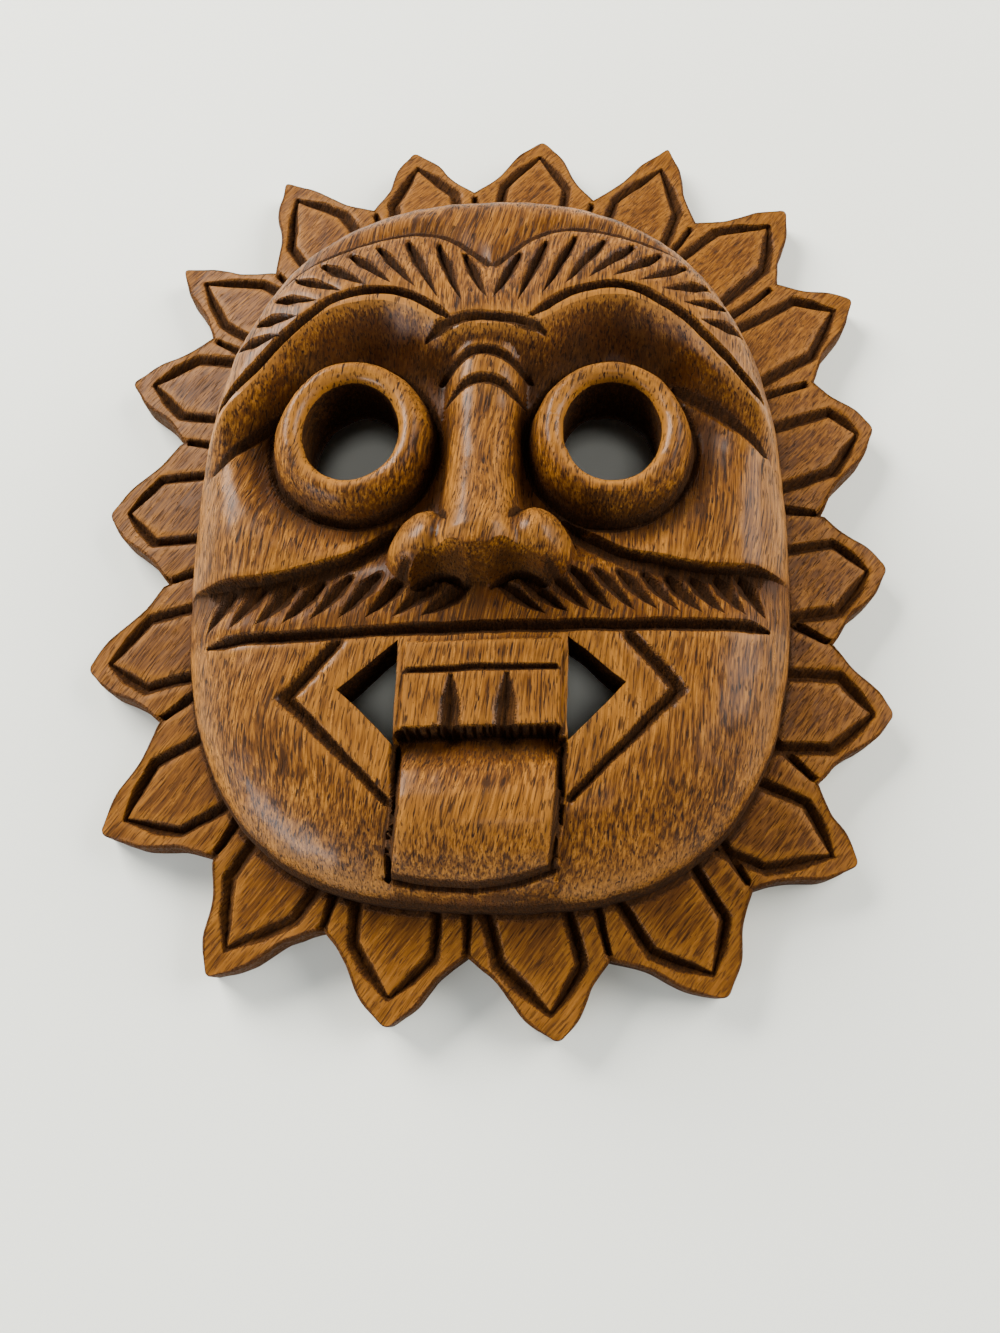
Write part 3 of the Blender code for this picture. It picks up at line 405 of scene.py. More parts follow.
@dataclass
class RayRing:
    """The ring of pointed rays round the face, with the petal cut into each."""

    count: int = 19
    width: float = 0.2405
    length: float = 0.3006
    ray_length: float = 0.0212
    edge_bends: tuple = ((0.35, -0.02), (0.72, 0.035))
    tip_bluntness: float = 0.58
    tip_squareness: float = 2.92
    valley_squareness: float = 2.74
    ray_start: float = 0.0046
    valley_start: float = 0.0331
    turn: float = math.radians(1.5)
    centre: tuple = (0.0027, 0.0020)
    valley_drop: float = 0.0038
    tip_round: float = 0.0030
    tip_thickness: float = 0.0075
    root_thickness: float = 0.0140
    hand_cut_tips: tuple = ((4, -2), (1, 0), (0, -3), (-1, 3), (-4, 1), (-4, 1), (-2, 3), (0, 5), (-1, 1), (2, -3),
                            (5, -2), (2, -4), (-2, -2), (-2, 0), (-2, 3), (-4, 4), (-2, 3), (4, 1), (6, -5))
    hand_cut_valleys: tuple = ((1, -4), (-1, 1), (1, 7), (0, 7), (-3, -1), (-1, -3), (0, -5), (2, -1), (0, -3),
                               (2, -1), (3, -1), (3, -6), (-1, -4), (0, 0), (-2, 9), (-2, 9), (2, -2), (4, -2),
                               (0, -2))
    petal_border: float = 0.0052
    petal_cut_width: float = 0.0041
    petal_cut_depth: float = 0.0024
    petal_half_width: float = 0.0108
    petal_base_share: float = 0.62
    valley_cut_size: tuple = (0.0038, 0.0026)
    valley_cut_start: float = 0.16
    petal_bow: float = 0.0004
    hand_spread: tuple = (0.95, 1.25)
    fine_tip_share: float = 0.4

    @property
    def valley_half_width(self) -> float:
        """Half the width of the mask between its valleys."""
        return self.width / 2 - self.ray_length

    @property
    def valley_half_length(self) -> float:
        """Half the length of the mask between its valleys."""
        return self.length / 2 - self.ray_length - self.valley_drop / 2

    def ring_points(self, half: tuple[float, float], squareness: float, start: float,
                    centre: tuple[float, float]) -> Array:
        """Space one point for each ray round a squared ellipse, clockwise from the top.

        Args:
            half: Half its width and half its length.
            squareness: The power of the squared ellipse.
            start: Where the first point is, as a share of the way round.
            centre: Its middle.

        Returns:
            One point for each ray.
        """
        angles = np.linspace(0.0, FULL_TURN, 3601)
        across = np.sign(np.sin(angles)) * np.abs(np.sin(angles)) ** (2 / squareness) * half[0]
        upward = np.sign(np.cos(angles)) * np.abs(np.cos(angles)) ** (2 / squareness) * half[1]
        travelled = np.concatenate([[0.0], np.cumsum(np.hypot(np.diff(across), np.diff(upward)))])
        wanted = (np.arange(self.count) / self.count + start) * travelled[-1]
        x, y = np.interp(wanted, travelled, across), np.interp(wanted, travelled, upward)
        cos, sin = math.cos(self.turn), math.sin(self.turn)
        return np.stack([x * cos + y * sin, y * cos - x * sin], axis=1) + np.array(centre)

    def tips_and_valleys(self) -> tuple[Array, Array]:
        """Place the corners of the outline.

        Returns:
            The ray tips, and the valley after each one.
        """
        low_centre = (self.centre[0], self.centre[1] - self.valley_drop)
        tips = self.ring_points((self.width / 2, self.length / 2), self.tip_squareness, self.ray_start, self.centre)
        valleys = self.ring_points((self.valley_half_width, self.valley_half_length), self.valley_squareness,
                                   self.valley_start, low_centre)
        return (tips + np.array(self.hand_cut_tips) * MILLIMETRE,
                valleys + np.array(self.hand_cut_valleys) * MILLIMETRE)

    def edge(self, valley: Array, tip: Array, outward: float) -> Array:
        """Give the few points that set the line from a valley to a tip.

        Args:
            valley: Where the edge starts.
            tip: The tip's corner.
            outward: The sign that makes a swell go outward.

        Returns:
            The points, hollow near the valley and full near the tip.
        """
        run = tip - valley
        length = float(np.hypot(*run))
        normal = np.array([-run[1], run[0]]) / length * outward
        reach = 1.0 - self.tip_round / length
        bends = [valley + run * share * reach + normal * swell * length for share, swell in self.edge_bends]
        return np.array([valley, *bends, valley + run * reach])

    def outline(self, per_span: int, tip_steps: int) -> Array:
        """Draw the whole outline, clockwise from the valley before the first ray.

        Args:
            per_span: Points along each span of an edge; 1 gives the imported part's own corners.
            tip_steps: Steps round each tip.

        Returns:
            The outline's points.
        """
        tips, valleys = self.tips_and_valleys()
        parts = []
        for index, tip in enumerate(tips):
            rising = self.edge(valleys[index - 1], tip, 1.0)
            falling = self.edge(valleys[index], tip, -1.0)[::-1]
            middle = (rising[-1] + falling[0]) / 2
            blunt = tip + (middle - tip) * self.tip_bluntness
            control = blunt * 2 - middle
            share = (np.arange(1, tip_steps) / tip_steps)[:, None]
            tip_curve = (1 - share)**2 * rising[-1] + 2 * share * (1 - share) * control + share**2 * falling[0]
            parts += [smooth_line(rising, per_span), tip_curve, smooth_line(falling, per_span)[:-1]]
        return np.vstack(parts)

    def sturdiness(self, points: Array) -> Array:
        """Give how much rounding the edge takes, less at the fine tips.

        Args:
            points: Points of the outline.

        Returns:
            Shares from the fine tip's own to 1 away from it.
        """
        tips, _ = self.tips_and_valleys()
        away = np.min(np.hypot(*(points[:, None] - tips[None]).transpose(2, 0, 1)), axis=1)
        return self.fine_tip_share + (1.0 - self.fine_tip_share) * ease((away - self.tip_round) / self.tip_round / 2)

    def cuts(self, face: "FaceBlock") -> list[Cut]:
        """Make the petal cuts of every ray and the cut that runs in from each valley.

        Args:
            face: The face block that the cuts run in to.

        Returns:
            The cuts.
        """
        tips, valleys = self.tips_and_valleys()
        hand = np.random.default_rng(19)
        cuts = []
        for index, tip in enumerate(tips):
            before, after = valleys[index - 1], valleys[index]
            middle = (before + after) / 2
            axis = (tip - middle) / np.hypot(*(tip - middle))
            half_base = float(np.hypot(*(after - before))) / 2
            across = (after - before) / 2 / half_base
            rise = float(np.hypot(*(tip - middle)))
            slope = rise / half_base
            apex = rise - self.petal_border * math.hypot(1.0, slope)
            half_width = min(self.petal_half_width, half_base * self.petal_base_share)
            for side in (-1, 1):
                start = middle + axis * apex
                kink = middle + across * side * half_width + axis * (apex - half_width * slope)
                end = face.toward(kink, kink - axis * face.land * 2)
                width = self.petal_cut_width * hand.uniform(*self.hand_spread)
                depth = self.petal_cut_depth * hand.uniform(*self.hand_spread)
                bow = (start + kink) / 2 + across * side * self.petal_bow
                cuts.append(Cut([start, bow, kink, (kink + end) / 2, end], width, depth, (0.35, 1.0)))
            valley_end = face.toward(after, after * 0.5)
            valley_start = after + (valley_end - after) * self.valley_cut_start
            cuts.append(Cut([valley_start, valley_end], *self.valley_cut_size, (0.7, 1.0)))
        return cuts


@dataclass
class FaceBlock:
    """The rounded block of the face that stands on the ring of rays."""

    half_width: float
    half_length: float
    land: float
    drop: float = 0.0075
    top_squareness: float = 2.4
    jaw_squareness: float = 2.85
    jaw_shoulder: float = 0.0240
    top_shoulder: float = 0.0150
    shoulder_change: tuple = (-60.0, 20.0)
    height: float = 0.0235
    crown: float = 0.0030
    relief_start: float = 1.4

    def radius(self, x: Array, y: Array, inset: float = 0.0) -> Array:
        """Give 0 in the middle of the face and 1 on the line where it meets the rays.

        Args:
            x: Places across.
            y: Places up.
            inset: How much smaller than the face the shape is.

        Returns:
            The shares.
        """
        level = y + self.drop
        squareness = np.where(level > 0, self.top_squareness, self.jaw_squareness)
        shares = (np.abs(x / (self.half_width - inset)) ** squareness
                  + np.abs(level / (self.half_length - inset)) ** squareness)
        return shares ** (1 / squareness)

    def ring(self, share: float, count: int, inset: float = 0.0) -> Array:
        """Put points round the face at one share of its size.

        Args:
            share: The share.
            count: How many points.
            inset: How much smaller than the face the shape is.

        Returns:
            The points.
        """
        angles = np.arange(count) / count * FULL_TURN
        x = np.sin(angles) * (self.half_width - inset)
        y = np.cos(angles) * (self.half_length - inset)
        stretch = share / self.radius(x, y - self.drop, inset)
        return np.stack([x * stretch, y * stretch - self.drop], axis=1)

    def toward(self, start: Array, goal: Array) -> Array:
        """Find where a run from outside meets the foot of the face.

        Args:
            start: Where the run starts.
            goal: Where it is heading.

        Returns:
            The meeting point.
        """
        near, far = 0.0, 1.0
        for _ in range(24):
            middle = (near + far) / 2
            point = start + (goal - start) * middle
            if self.radius(point[0:1], point[1:2])[0] > 1.0:
                near = middle
            else:
                far = middle
        return start + (goal - start) * near

    def dome(self, radius: Array, level: Array) -> tuple[Array, Array]:
        """Raise the plain block with its rounded shoulders.

        Args:
            radius: Shares of the face's size.
            level: Pattern squares up the face.

        Returns:
            Heights over the rays' plane, and how much of the carving each place takes.
        """
        low, high = self.shoulder_change
        shoulder = self.jaw_shoulder + (self.top_shoulder - self.jaw_shoulder) * ease((level - low) / (high - low))
        inward = np.clip((1.0 - radius) * self.half_width / shoulder, 0.0, 1.0)
        fade = ease(inward * self.relief_start)
        return self.height * np.sqrt(1.0 - (1.0 - inward) ** 2) + self.crown * (1.0 - radius**2) * fade, fade


@dataclass
class Brows:
    """The arched brows, the forehead panel above them and the hairs cut into both."""

    pattern: Pattern
    ridge: tuple = ((13.0, 38.0), (20.5, 43.0), (28.0, 46.5), (34.0, 47.4), (41.0, 46.5), (48.0, 43.0),
                    (55.5, 36.6), (62.5, 28.8), (69.0, 20.5), (76.0, 14.0), (90.0, 4.0))
    groove: tuple = ((12.0, 41.4), (22.5, 48.9), (33.0, 51.3), (43.0, 49.3), (53.0, 41.8), (62.0, 32.8),
                     (69.0, 25.0), (76.0, 17.0))
    height: float = 0.0105
    fall: float = 0.85
    taper: tuple = (52.0, 86.0)
    end_share: float = 0.45
    slant: float = 0.018
    reach_up: float = 42.0
    reach_down: float = 14.0
    groove_size: tuple = (0.0036, 0.0030)
    panel_top: tuple = ((0.5, 64.8), (6.0, 70.6), (11.0, 75.2), (17.0, 78.2), (24.0, 78.5), (33.0, 76.5),
                        (43.0, 72.0), (53.0, 66.5), (62.0, 58.5), (69.0, 49.5), (74.0, 41.0))
    panel_width: float = 0.0036
    panel_slope: float = 0.0065
    panel_depth: float = 0.0022
    hairs: int = 10
    hair_heads: tuple = ((8.0, 68.8), (17.0, 72.6), (27.0, 73.0), (36.0, 69.8), (46.0, 66.0), (54.0, 60.8),
                         (61.0, 53.5), (67.0, 44.0), (71.0, 37.5))
    hair_tips: tuple = ((0.6, 47.5), (8.0, 46.0), (15.0, 48.0), (24.0, 53.0), (32.0, 53.8), (40.0, 52.5),
                        (47.5, 49.8), (54.0, 44.5), (58.6, 38.7))
    hair_size: tuple = (0.0046, 0.0027)
    frown_lines: tuple = (((-17.4, 37.0), (-2.2, 41.3), (15.3, 37.0)),
                          ((-14.0, 26.8), (-2.0, 32.0), (12.0, 26.6)),
                          ((-11.6, 19.0), (-1.8, 22.0), (9.6, 18.6)))
    frown_size: tuple = (0.0044, 0.0022)

    def line(self, corners: Squares, side: Side, per_span: int) -> Array:
        """Draw a line of one brow in pattern squares.

        Args:
            corners: Its corners on the right side.
            side: The side to draw it on.
            per_span: Points from each corner to the next.

        Returns:
            The line.
        """
        sign = side.value
        return smooth_line([(sign * u, v + self.slant * sign * u) for u, v in corners], per_span)

    def whole_ridge(self) -> Array:
        """Give the ridge line of both brows, from left to right, in pattern squares."""
        return np.vstack([self.line(self.ridge, Side.LEFT, 4)[::-1], self.line(self.ridge, Side.RIGHT, 4)])

    def mass(self, u: Array, v: Array) -> Array:
        """Raise the brows: highest on the ridge, rolled over the forehead and hollow toward the eye.

        Args:
            u: Pattern squares across.
            v: Pattern squares up.

        Returns:
            Heights over the face ground.
        """
        away = distance_to(u, v, self.whole_ridge())
        above = 1.0 - self.fall * ease(away / self.reach_up)
        below = np.clip(1.0 + away / self.reach_down, 0.0, 1.0) ** 2
        along = (np.abs(u) - self.taper[0]) / (self.taper[1] - self.taper[0])
        height = self.height * (1.0 - (1.0 - self.end_share) * ease(along))
        return height * np.where(away > 0, above, below)

    def slopes(self) -> list[Cut]:
        """Set the forehead panel back.

        Returns:
            Its wide one-sided cuts.
        """
        made = []
        for side in Side:
            panel = smooth_line(self.pattern.place(self.panel_top, side), 4)[::side.value]
            made.append(Cut(panel, self.panel_width, self.panel_depth, (0.6, 0.6), left_width=self.panel_slope))
        return made

    def cuts(self) -> list[Cut]:
        """Cut the lines of the forehead.

        Returns:
            The brow grooves, the hairs and the frown lines.
        """
        made = []
        for side in Side:
            groove = self.pattern.place(self.line(self.groove, side, 4), slanted=False)
            made.append(Cut(groove, *self.groove_size, (0.6, 0.4)))
            made += hair_row(self.pattern, self.hair_heads, self.hair_tips, self.hairs, side, *self.hair_size, 0.5)
        for line in self.frown_lines:
            frown = smooth_line(self.pattern.place(line), 4)
            made.append(Cut(frown, *self.frown_size, (0.4, 0.4)))
        return made


def hair_row(pattern: Pattern, heads: Squares, tips: Squares, count: int, side: Side, width: float,
             depth: float, head_share: float) -> list[Cut]:
    """Cut a row of pointed hairs that fan from their heads toward their tips.

    Args:
        pattern: The squares they are laid out in.
        heads: The line of the broad ends.
        tips: The line of the points.
        count: How many hairs.
        side: The side of the face.
        width: The width of each cut.
        depth: The depth of each cut.
        head_share: How wide a hair starts, as a share of its width.

    Returns:
        The cuts, each a little different as a hand leaves them.
    """
    head_points = spaced(smooth_line(pattern.place(heads, side), 6), count)
    tip_points = spaced(smooth_line(pattern.place(tips, side), 6), count)
    hand = np.random.default_rng(count * 10 + side.value)
    made = []
    for head, tip in zip(head_points, tip_points):
        body = head + (tip - head) * 0.3
        late = head + (tip - head) * 0.7
        made.append(Cut([head, body, late, tip], width * hand.uniform(0.9, 1.2), depth * hand.uniform(0.95, 1.3),
                        (head_share, 0.0), peak=0.6 - head_share * 0.5))
    return made


@dataclass
class Eyes:
    """The two round eye holes in their raised rings."""

    pattern: Pattern
    spread: float = 35.9
    middle: float = -1.8
    level: float = 7.0
    hole_width: float = 0.0270
    hole_height: float = 0.0314
    ring_land: float = 0.0102
    ring_height: float = 0.0115
    crease_drop: float = 0.0012
    crest: float = 0.32
    crease_size: tuple = (0.0034, 0.0016)
    socket_depth: float = 0.0040
    socket_reach: float = 1.3
    worn_edge: float = 0.0016

    def centre(self, side: Side) -> Array:
        """Give the middle of an eye hole."""
        return self.pattern.place([(side.value * self.spread + self.middle, self.level)], slanted=False)[0]

    def circle(self, side: Side, offset: float, count: int) -> Array:
        """Put points round an eye.

        Args:
            side: The side of the face.
            offset: The distance outside its hole.
            count: How many points.

        Returns:
            The points.
        """
        angles = np.arange(count) / count * FULL_TURN
        reach = np.array([self.hole_width / 2 + offset, self.hole_height / 2 + offset])
        return self.centre(side) + np.stack([np.sin(angles), np.cos(angles)], axis=1) * reach

    def out(self, x: Array, y: Array, side: Side) -> Array:
        """Give how far out in the ring places are, 0 at the hole and 1 at the crease.

        Args:
            x: Places across.
            y: Places up.
            side: The side of the face.

        Returns:
            The shares.
        """
        centre = self.centre(side)
        away_x, away_y = x - centre[0], y - centre[1]
        distance = np.maximum(np.hypot(away_x, away_y), TINY)
        half_width, half_height = self.hole_width / 2, self.hole_height / 2
        edge = half_width * half_height * distance / np.hypot(half_height * away_x, half_width * away_y)
        return (distance - edge) / self.ring_land

    def ring(self, out: Array, ground: float) -> Array:
        """Raise the rounded ring round an eye hole.

        Args:
            out: How far out in the ring each place is.
            ground: How far below the face ground the height goes outside the ring.

        Returns:
            Heights over the face ground.
        """
        inner = 0.84 + 0.16 * np.sin(np.clip(out / self.crest, -1.0, 1.0) * math.pi / 2)
        outer = np.cos(np.clip((out - self.crest) / (1 - self.crest), 0.0, 1.6) * math.pi / 2)
        height = self.ring_height * np.where(out < self.crest, inner, outer) - self.crease_drop
        near = np.clip(1.0 - out * self.ring_land / self.worn_edge, 0.0, 1.0)
        height -= self.worn_edge * (1.0 - np.sqrt(1.0 - near**2)) * 0.8
        return np.where(out < 1.0 + self.crest, height, -ground)

    def cuts(self) -> list[Cut]:
        """Cut round each ring.

        Returns:
            The creases.
        """
        made = []
        for side in Side:
            crease = self.circle(side, self.ring_land, 56)
            made.append(Cut(np.vstack([crease, crease[:1]]), *self.crease_size, (1.0, 1.0)))
        return made


@dataclass
class Nose:
    """The long nose with its two wings and scalloped underside."""

    pattern: Pattern
    profile: tuple = ((44.0, 13.0, 0.0085), (36.0, 13.5, 0.0100), (24.0, 12.5, 0.0105), (12.0, 11.5, 0.0110),
                      (-5.0, 11.2, 0.0145), (-18.0, 13.0, 0.0185), (-28.0, 14.5, 0.0212), (-36.0, 14.5, 0.0195),
                      (-40.0, 14.0, 0.0175))
    middle: float = -1.2
    foot_drop: float = 0.0020
    bottom: float = -37.4
    steepness: float = 5.0
    base_half_width: float = 24.0
    wing_place: tuple = (14.8, -26.5)
    wing_reach: tuple = (10.8, 11.2)
    wing_height: float = 0.0155
    soft_join: float = 0.0050
    wing_cut: tuple = ((8.0, -23.5), (11.0, -17.6), (15.5, -16.2), (20.5, -18.4), (25.2, -24.6))
    wing_cut_size: tuple = (0.0024, 0.0015)
    nostril_place: float = 10.4
    nostril_reach: float = 7.6
    nostril_rise: float = 3.6
    nostril_cut: tuple = ((3.5, -37.4), (10.4, -34.2), (17.5, -37.4))
    nostril_size: tuple = (0.0030, 0.0030)

    def base(self, away: Array) -> Array:
        """Give the level where the underside ends, higher at the nostrils.

        Args:
            away: Squares from the middle of the nose.

        Returns:
            The levels in squares.
        """
        return self.bottom + self.nostril_rise * np.clip(
            1.0 - ((away - self.nostril_place) / self.nostril_reach) ** 2, 0.0, 1.0)

    def top(self, u: Array, v: Array, ground: float) -> Array:
        """Raise the bridge, the tip and both wings as seen from above.

        Args:
            u: Pattern squares across.
            v: Slanted pattern squares up.
            ground: How far below the face ground the height goes above the nose.

        Returns:
            Heights over the face ground.
        """
        levels, widths, heights = (np.array(column)[::-1] for column in zip(*self.profile))
        half_width, ridge = np.interp(v, levels, widths), np.interp(v, levels, heights)
        away = np.abs(u - self.middle)
        bridge = ridge - (ridge + self.foot_drop) * (away / half_width) ** 3
        square = (((away - self.wing_place[0]) / self.wing_reach[0]) ** 2
                  + ((v - self.wing_place[1]) / self.wing_reach[1]) ** 2)
        wing = (self.wing_height + self.foot_drop) * np.sqrt(np.clip(1.0 - square, 0.0, 1.0)) - self.foot_drop
        blend = np.clip(1.0 - np.abs(bridge - wing) / self.soft_join, 0.0, 1.0) ** 2 * self.soft_join / 4
        nose = np.where(square < 1.0, np.maximum(bridge, wing) + blend, bridge)
        return np.where(v < levels[-1], nose, -ground)

    def height(self, u: Array, v: Array, ground: float) -> Array:
        """Raise the whole nose with its steep underside.

        Args:
            u: Pattern squares across.
            v: Slanted pattern squares up.
            ground: How far below the face ground the height goes away from the nose.

        Returns:
            Heights over the face ground.
        """
        risen = v - self.base(np.abs(u - self.middle))
        underside = risen * self.steepness * self.pattern.square_up - self.foot_drop
        return np.minimum(self.top(u, v, ground), underside)

    def edge_lines(self, ground: float) -> list[Array]:
        """Give the foot and the edge of the underside, which the mesh follows.

        Args:
            ground: How far below the face ground the height goes away from the nose.

        Returns:
            Both lines in metres.
        """
        across = np.linspace(-self.base_half_width, self.base_half_width, 61) + self.middle
        bottom = self.base(np.abs(across - self.middle))
        level = bottom
        for _ in range(6):
            height = np.maximum(self.top(across, level, ground), 0.0)
            level = bottom + (height + self.foot_drop) / (self.steepness * self.pattern.square_up)
        return [self.pattern.place(np.column_stack([across, line])) for line in (bottom, level)]

    def cuts(self) -> list[Cut]:
        """Cut the lines of the nose.

        Returns:
            The curls over the wings and the cuts of the nostrils.
        """
        made = []
        for side in Side:
            for corners, width, depth, ends in (
                    (self.wing_cut, *self.wing_cut_size, (0.3, 0.5)),
                    (self.nostril_cut, *self.nostril_size, (0.5, 0.5))):
                squares = [(side.value * u + self.middle, v) for u, v in corners]
                made.append(Cut(smooth_line(self.pattern.place(squares), 4), width, depth, ends))
        return made


@dataclass
class Cheeks:
    """The full cheeks, the creases of the eye sockets and the step over the upper lip."""

    pattern: Pattern
    place: tuple = (50.0, -14.0)
    reach: tuple = (24.0, 15.0)
    height: float = 0.0030
    edge: tuple = ((76.0, -33.2), (62.0, -33.2), (51.0, -31.7), (39.0, -28.5), (31.0, -24.0), (25.0, -19.5))
    wall_width: float = 0.0014
    lip_width: float = 0.0130
    depth: float = 0.0048
    socket_edge: tuple = ((52.5, 24.5), (60.5, 18.0), (68.5, 10.0), (77.0, 2.5))
    socket_width: float = 0.0044
    socket_slope: float = 0.0080
    socket_depth: float = 0.0030

    def swell(self, u: Array, level: Array) -> Array:
        """Give how full the cheeks are.

        Args:
            u: Pattern squares across.
            level: Slanted pattern squares up.

        Returns:
            Shares from 0 to 1.
        """
        across = (np.abs(u) - self.place[0]) / self.reach[0]
        upward = (level - self.place[1]) / self.reach[1]
        return np.exp(-across**2 - upward**2)

    def slopes(self) -> list[Cut]:
        """Set the upper lip and the eye sockets back from the cheeks.

        Returns:
            The step under each cheek and the crease of each socket, all running toward +X.
        """
        made = []
        for side in Side:
            cheek = smooth_line(self.pattern.place(self.edge, side), 4)[::-side.value]
            made.append(Cut(cheek, self.lip_width * 2, self.depth, (0.7, 0.5)[::side.value],
                            left_width=self.wall_width))
            socket = smooth_line(self.pattern.place(self.socket_edge, side), 4)[::side.value]
            made.append(Cut(socket, self.socket_width, self.socket_depth, (0.8, 0.8),
                            left_width=self.socket_slope))
        return made


@dataclass
class Mouth:
    """The moustache, the long mouth line, the holes beside the teeth, the teeth and the tongue."""

    pattern: Pattern
    moustache_hairs: dict = field(default_factory=lambda: {Side.LEFT: 9, Side.RIGHT: 11})
    moustache_heads: tuple = ((4.2, -37.0), (13.0, -35.6), (23.0, -33.0), (36.0, -32.8), (48.0, -34.6),
                              (58.0, -35.2), (68.0, -34.8))
    moustache_tips: tuple = ((16.6, -45.5), (30.0, -45.2), (45.0, -45.6), (60.0, -46.5), (75.0, -46.6))
    moustache_size: tuple = (0.0058, 0.0024)
    line: tuple = ((-73.5, -50.2), (-48.0, -49.6), (0.0, -48.6), (48.0, -49.2), (75.0, -49.4))
    line_size: tuple = (0.0040, 0.0030)
    hole: tuple = ((22.0, -51.6), (37.0, -64.6), (22.0, -79.6))
    chevron: tuple = ((38.0, -51.6), (50.3, -66.6), (22.4, -94.0))
    chevron_size: tuple = (0.0048, 0.0028)
    teeth_half_width: float = 20.5
    teeth_top: float = -52.0
    teeth_bottom: float = -76.5
    teeth_raise: float = 0.0022
    teeth_edge: float = 1.2
    gum_line: tuple = ((-19.5, -60.8), (0.0, -60.3), (18.8, -60.8))
    gum_size: tuple = (0.0026, 0.0018)
    tooth_gaps: tuple = (-7.5, 6.5)
    gap_top: float = -62.5
    gap_flare: float = 7.0
    gap_size: tuple = (0.0066, 0.0023)
    tongue_half_width: float = 20.8
    tongue_middle: float = -1.0
    tongue_crown: float = 0.0012
    tongue_profile: tuple = ((-76.5, -0.0062), (-80.0, -0.0045), (-86.0, -0.0003), (-93.0, 0.0028),
                             (-100.0, 0.0046), (-107.0, 0.0050), (-112.0, 0.0032), (-116.0, 0.0004))
    tongue_sides: tuple = (((-21.6, -79.5), (-20.6, -96.0), (-22.6, -111.2)),
                           ((20.9, -79.5), (19.8, -92.0), (18.2, -110.6)))
    tongue_end: tuple = ((-23.0, -111.2), (-13.0, -113.2), (-2.0, -113.8), (9.0, -112.8), (19.5, -110.2))
    tongue_size: tuple = (0.0032, 0.0034)

    def raised(self, u: Array, level: Array) -> Array:
        """Raise the teeth and the tongue.

        Args:
            u: Pattern squares across.
            level: Slanted pattern squares up.

        Returns:
            Heights to add.
        """
        edge = np.minimum(self.teeth_half_width - np.abs(u),
                          np.minimum(level - self.teeth_bottom, self.teeth_top - level))
        teeth = self.teeth_raise * np.clip(edge / self.teeth_edge, 0.0, 1.0)
        levels, raises = (np.array(column)[::-1] for column in zip(*self.tongue_profile))
        away = (u - self.tongue_middle) / self.tongue_half_width
        on_tongue = (np.abs(away) < 1.0) & (level < levels[-1]) & (level > levels[0])
        tongue = np.interp(level, levels, raises) + self.tongue_crown * (1.0 - away**2)
        return teeth + np.where(on_tongue, tongue, 0.0)

    def hole_loop(self, side: Side) -> Array:
        """Give the corners of the hole beside the teeth, divided so that its edge can wander."""
        corners = self.pattern.place(self.hole, side)
        return divided(np.vstack([corners, corners[:1]]), 0.0009)[:-1]

    def tooth_lines(self) -> list[Array]:
        """Draw the block of teeth, which the mesh follows.

        Returns:
            Its outer and its inner edge.
        """
        lines = []
        for inset in (0.0, self.teeth_edge):
            half = self.teeth_half_width - inset
            top, bottom = self.teeth_top - inset, self.teeth_bottom + inset
            lines.append(self.pattern.place([(-half, top), (half, top), (half, bottom), (-half, bottom),
                                             (-half, top)]))
        return lines

    def cuts(self) -> list[Cut]:
        """Cut the lines of the mouth.

        Returns:
            The moustache, the chevrons, the mouth line, the gum line, the tooth gaps and the tongue's edges.
        """
        place, made = self.pattern.place, []
        for side in Side:
            made += hair_row(self.pattern, self.moustache_heads, self.moustache_tips, self.moustache_hairs[side],
                             side, *self.moustache_size, 0.5)
            made.append(Cut(place(self.chevron, side), *self.chevron_size, (0.9, 0.55)))
        made.append(Cut(smooth_line(place(self.line), 5), *self.line_size, (0.4, 0.4)))
        made.append(Cut(place(self.gum_line), *self.gum_size, (0.8, 0.8)))
        for gap in self.tooth_gaps:
            corners = [(gap, self.teeth_bottom), (gap, self.teeth_bottom + self.gap_flare), (gap, self.gap_top)]
            made.append(Cut(place(corners), *self.gap_size, (1.0, 0.3)))
        for line in (*self.tongue_sides, self.tongue_end):
            made.append(Cut(smooth_line(place(line), 5), *self.tongue_size, (0.7, 0.7)))
        return made


def past(values: Array, start: float, reach: float) -> Array:
    """Ease in past a place.

    Args:
        values: Where each point is.
        start: Where the change starts.
        reach: How far it takes.

    Returns:
        Shares, 0 before the start and 1 beyond the reach.
    """
    return ease((values - start) / reach)


def close_to(values: Array, place: float, reach: float) -> Array:
    """Fade away from a place.

    Args:
        values: Where each point is.
        place: Where the share is 1.
        reach: How far it fades.

    Returns:
        The shares.
    """
    return np.exp(-((values - place) / reach) ** 2)


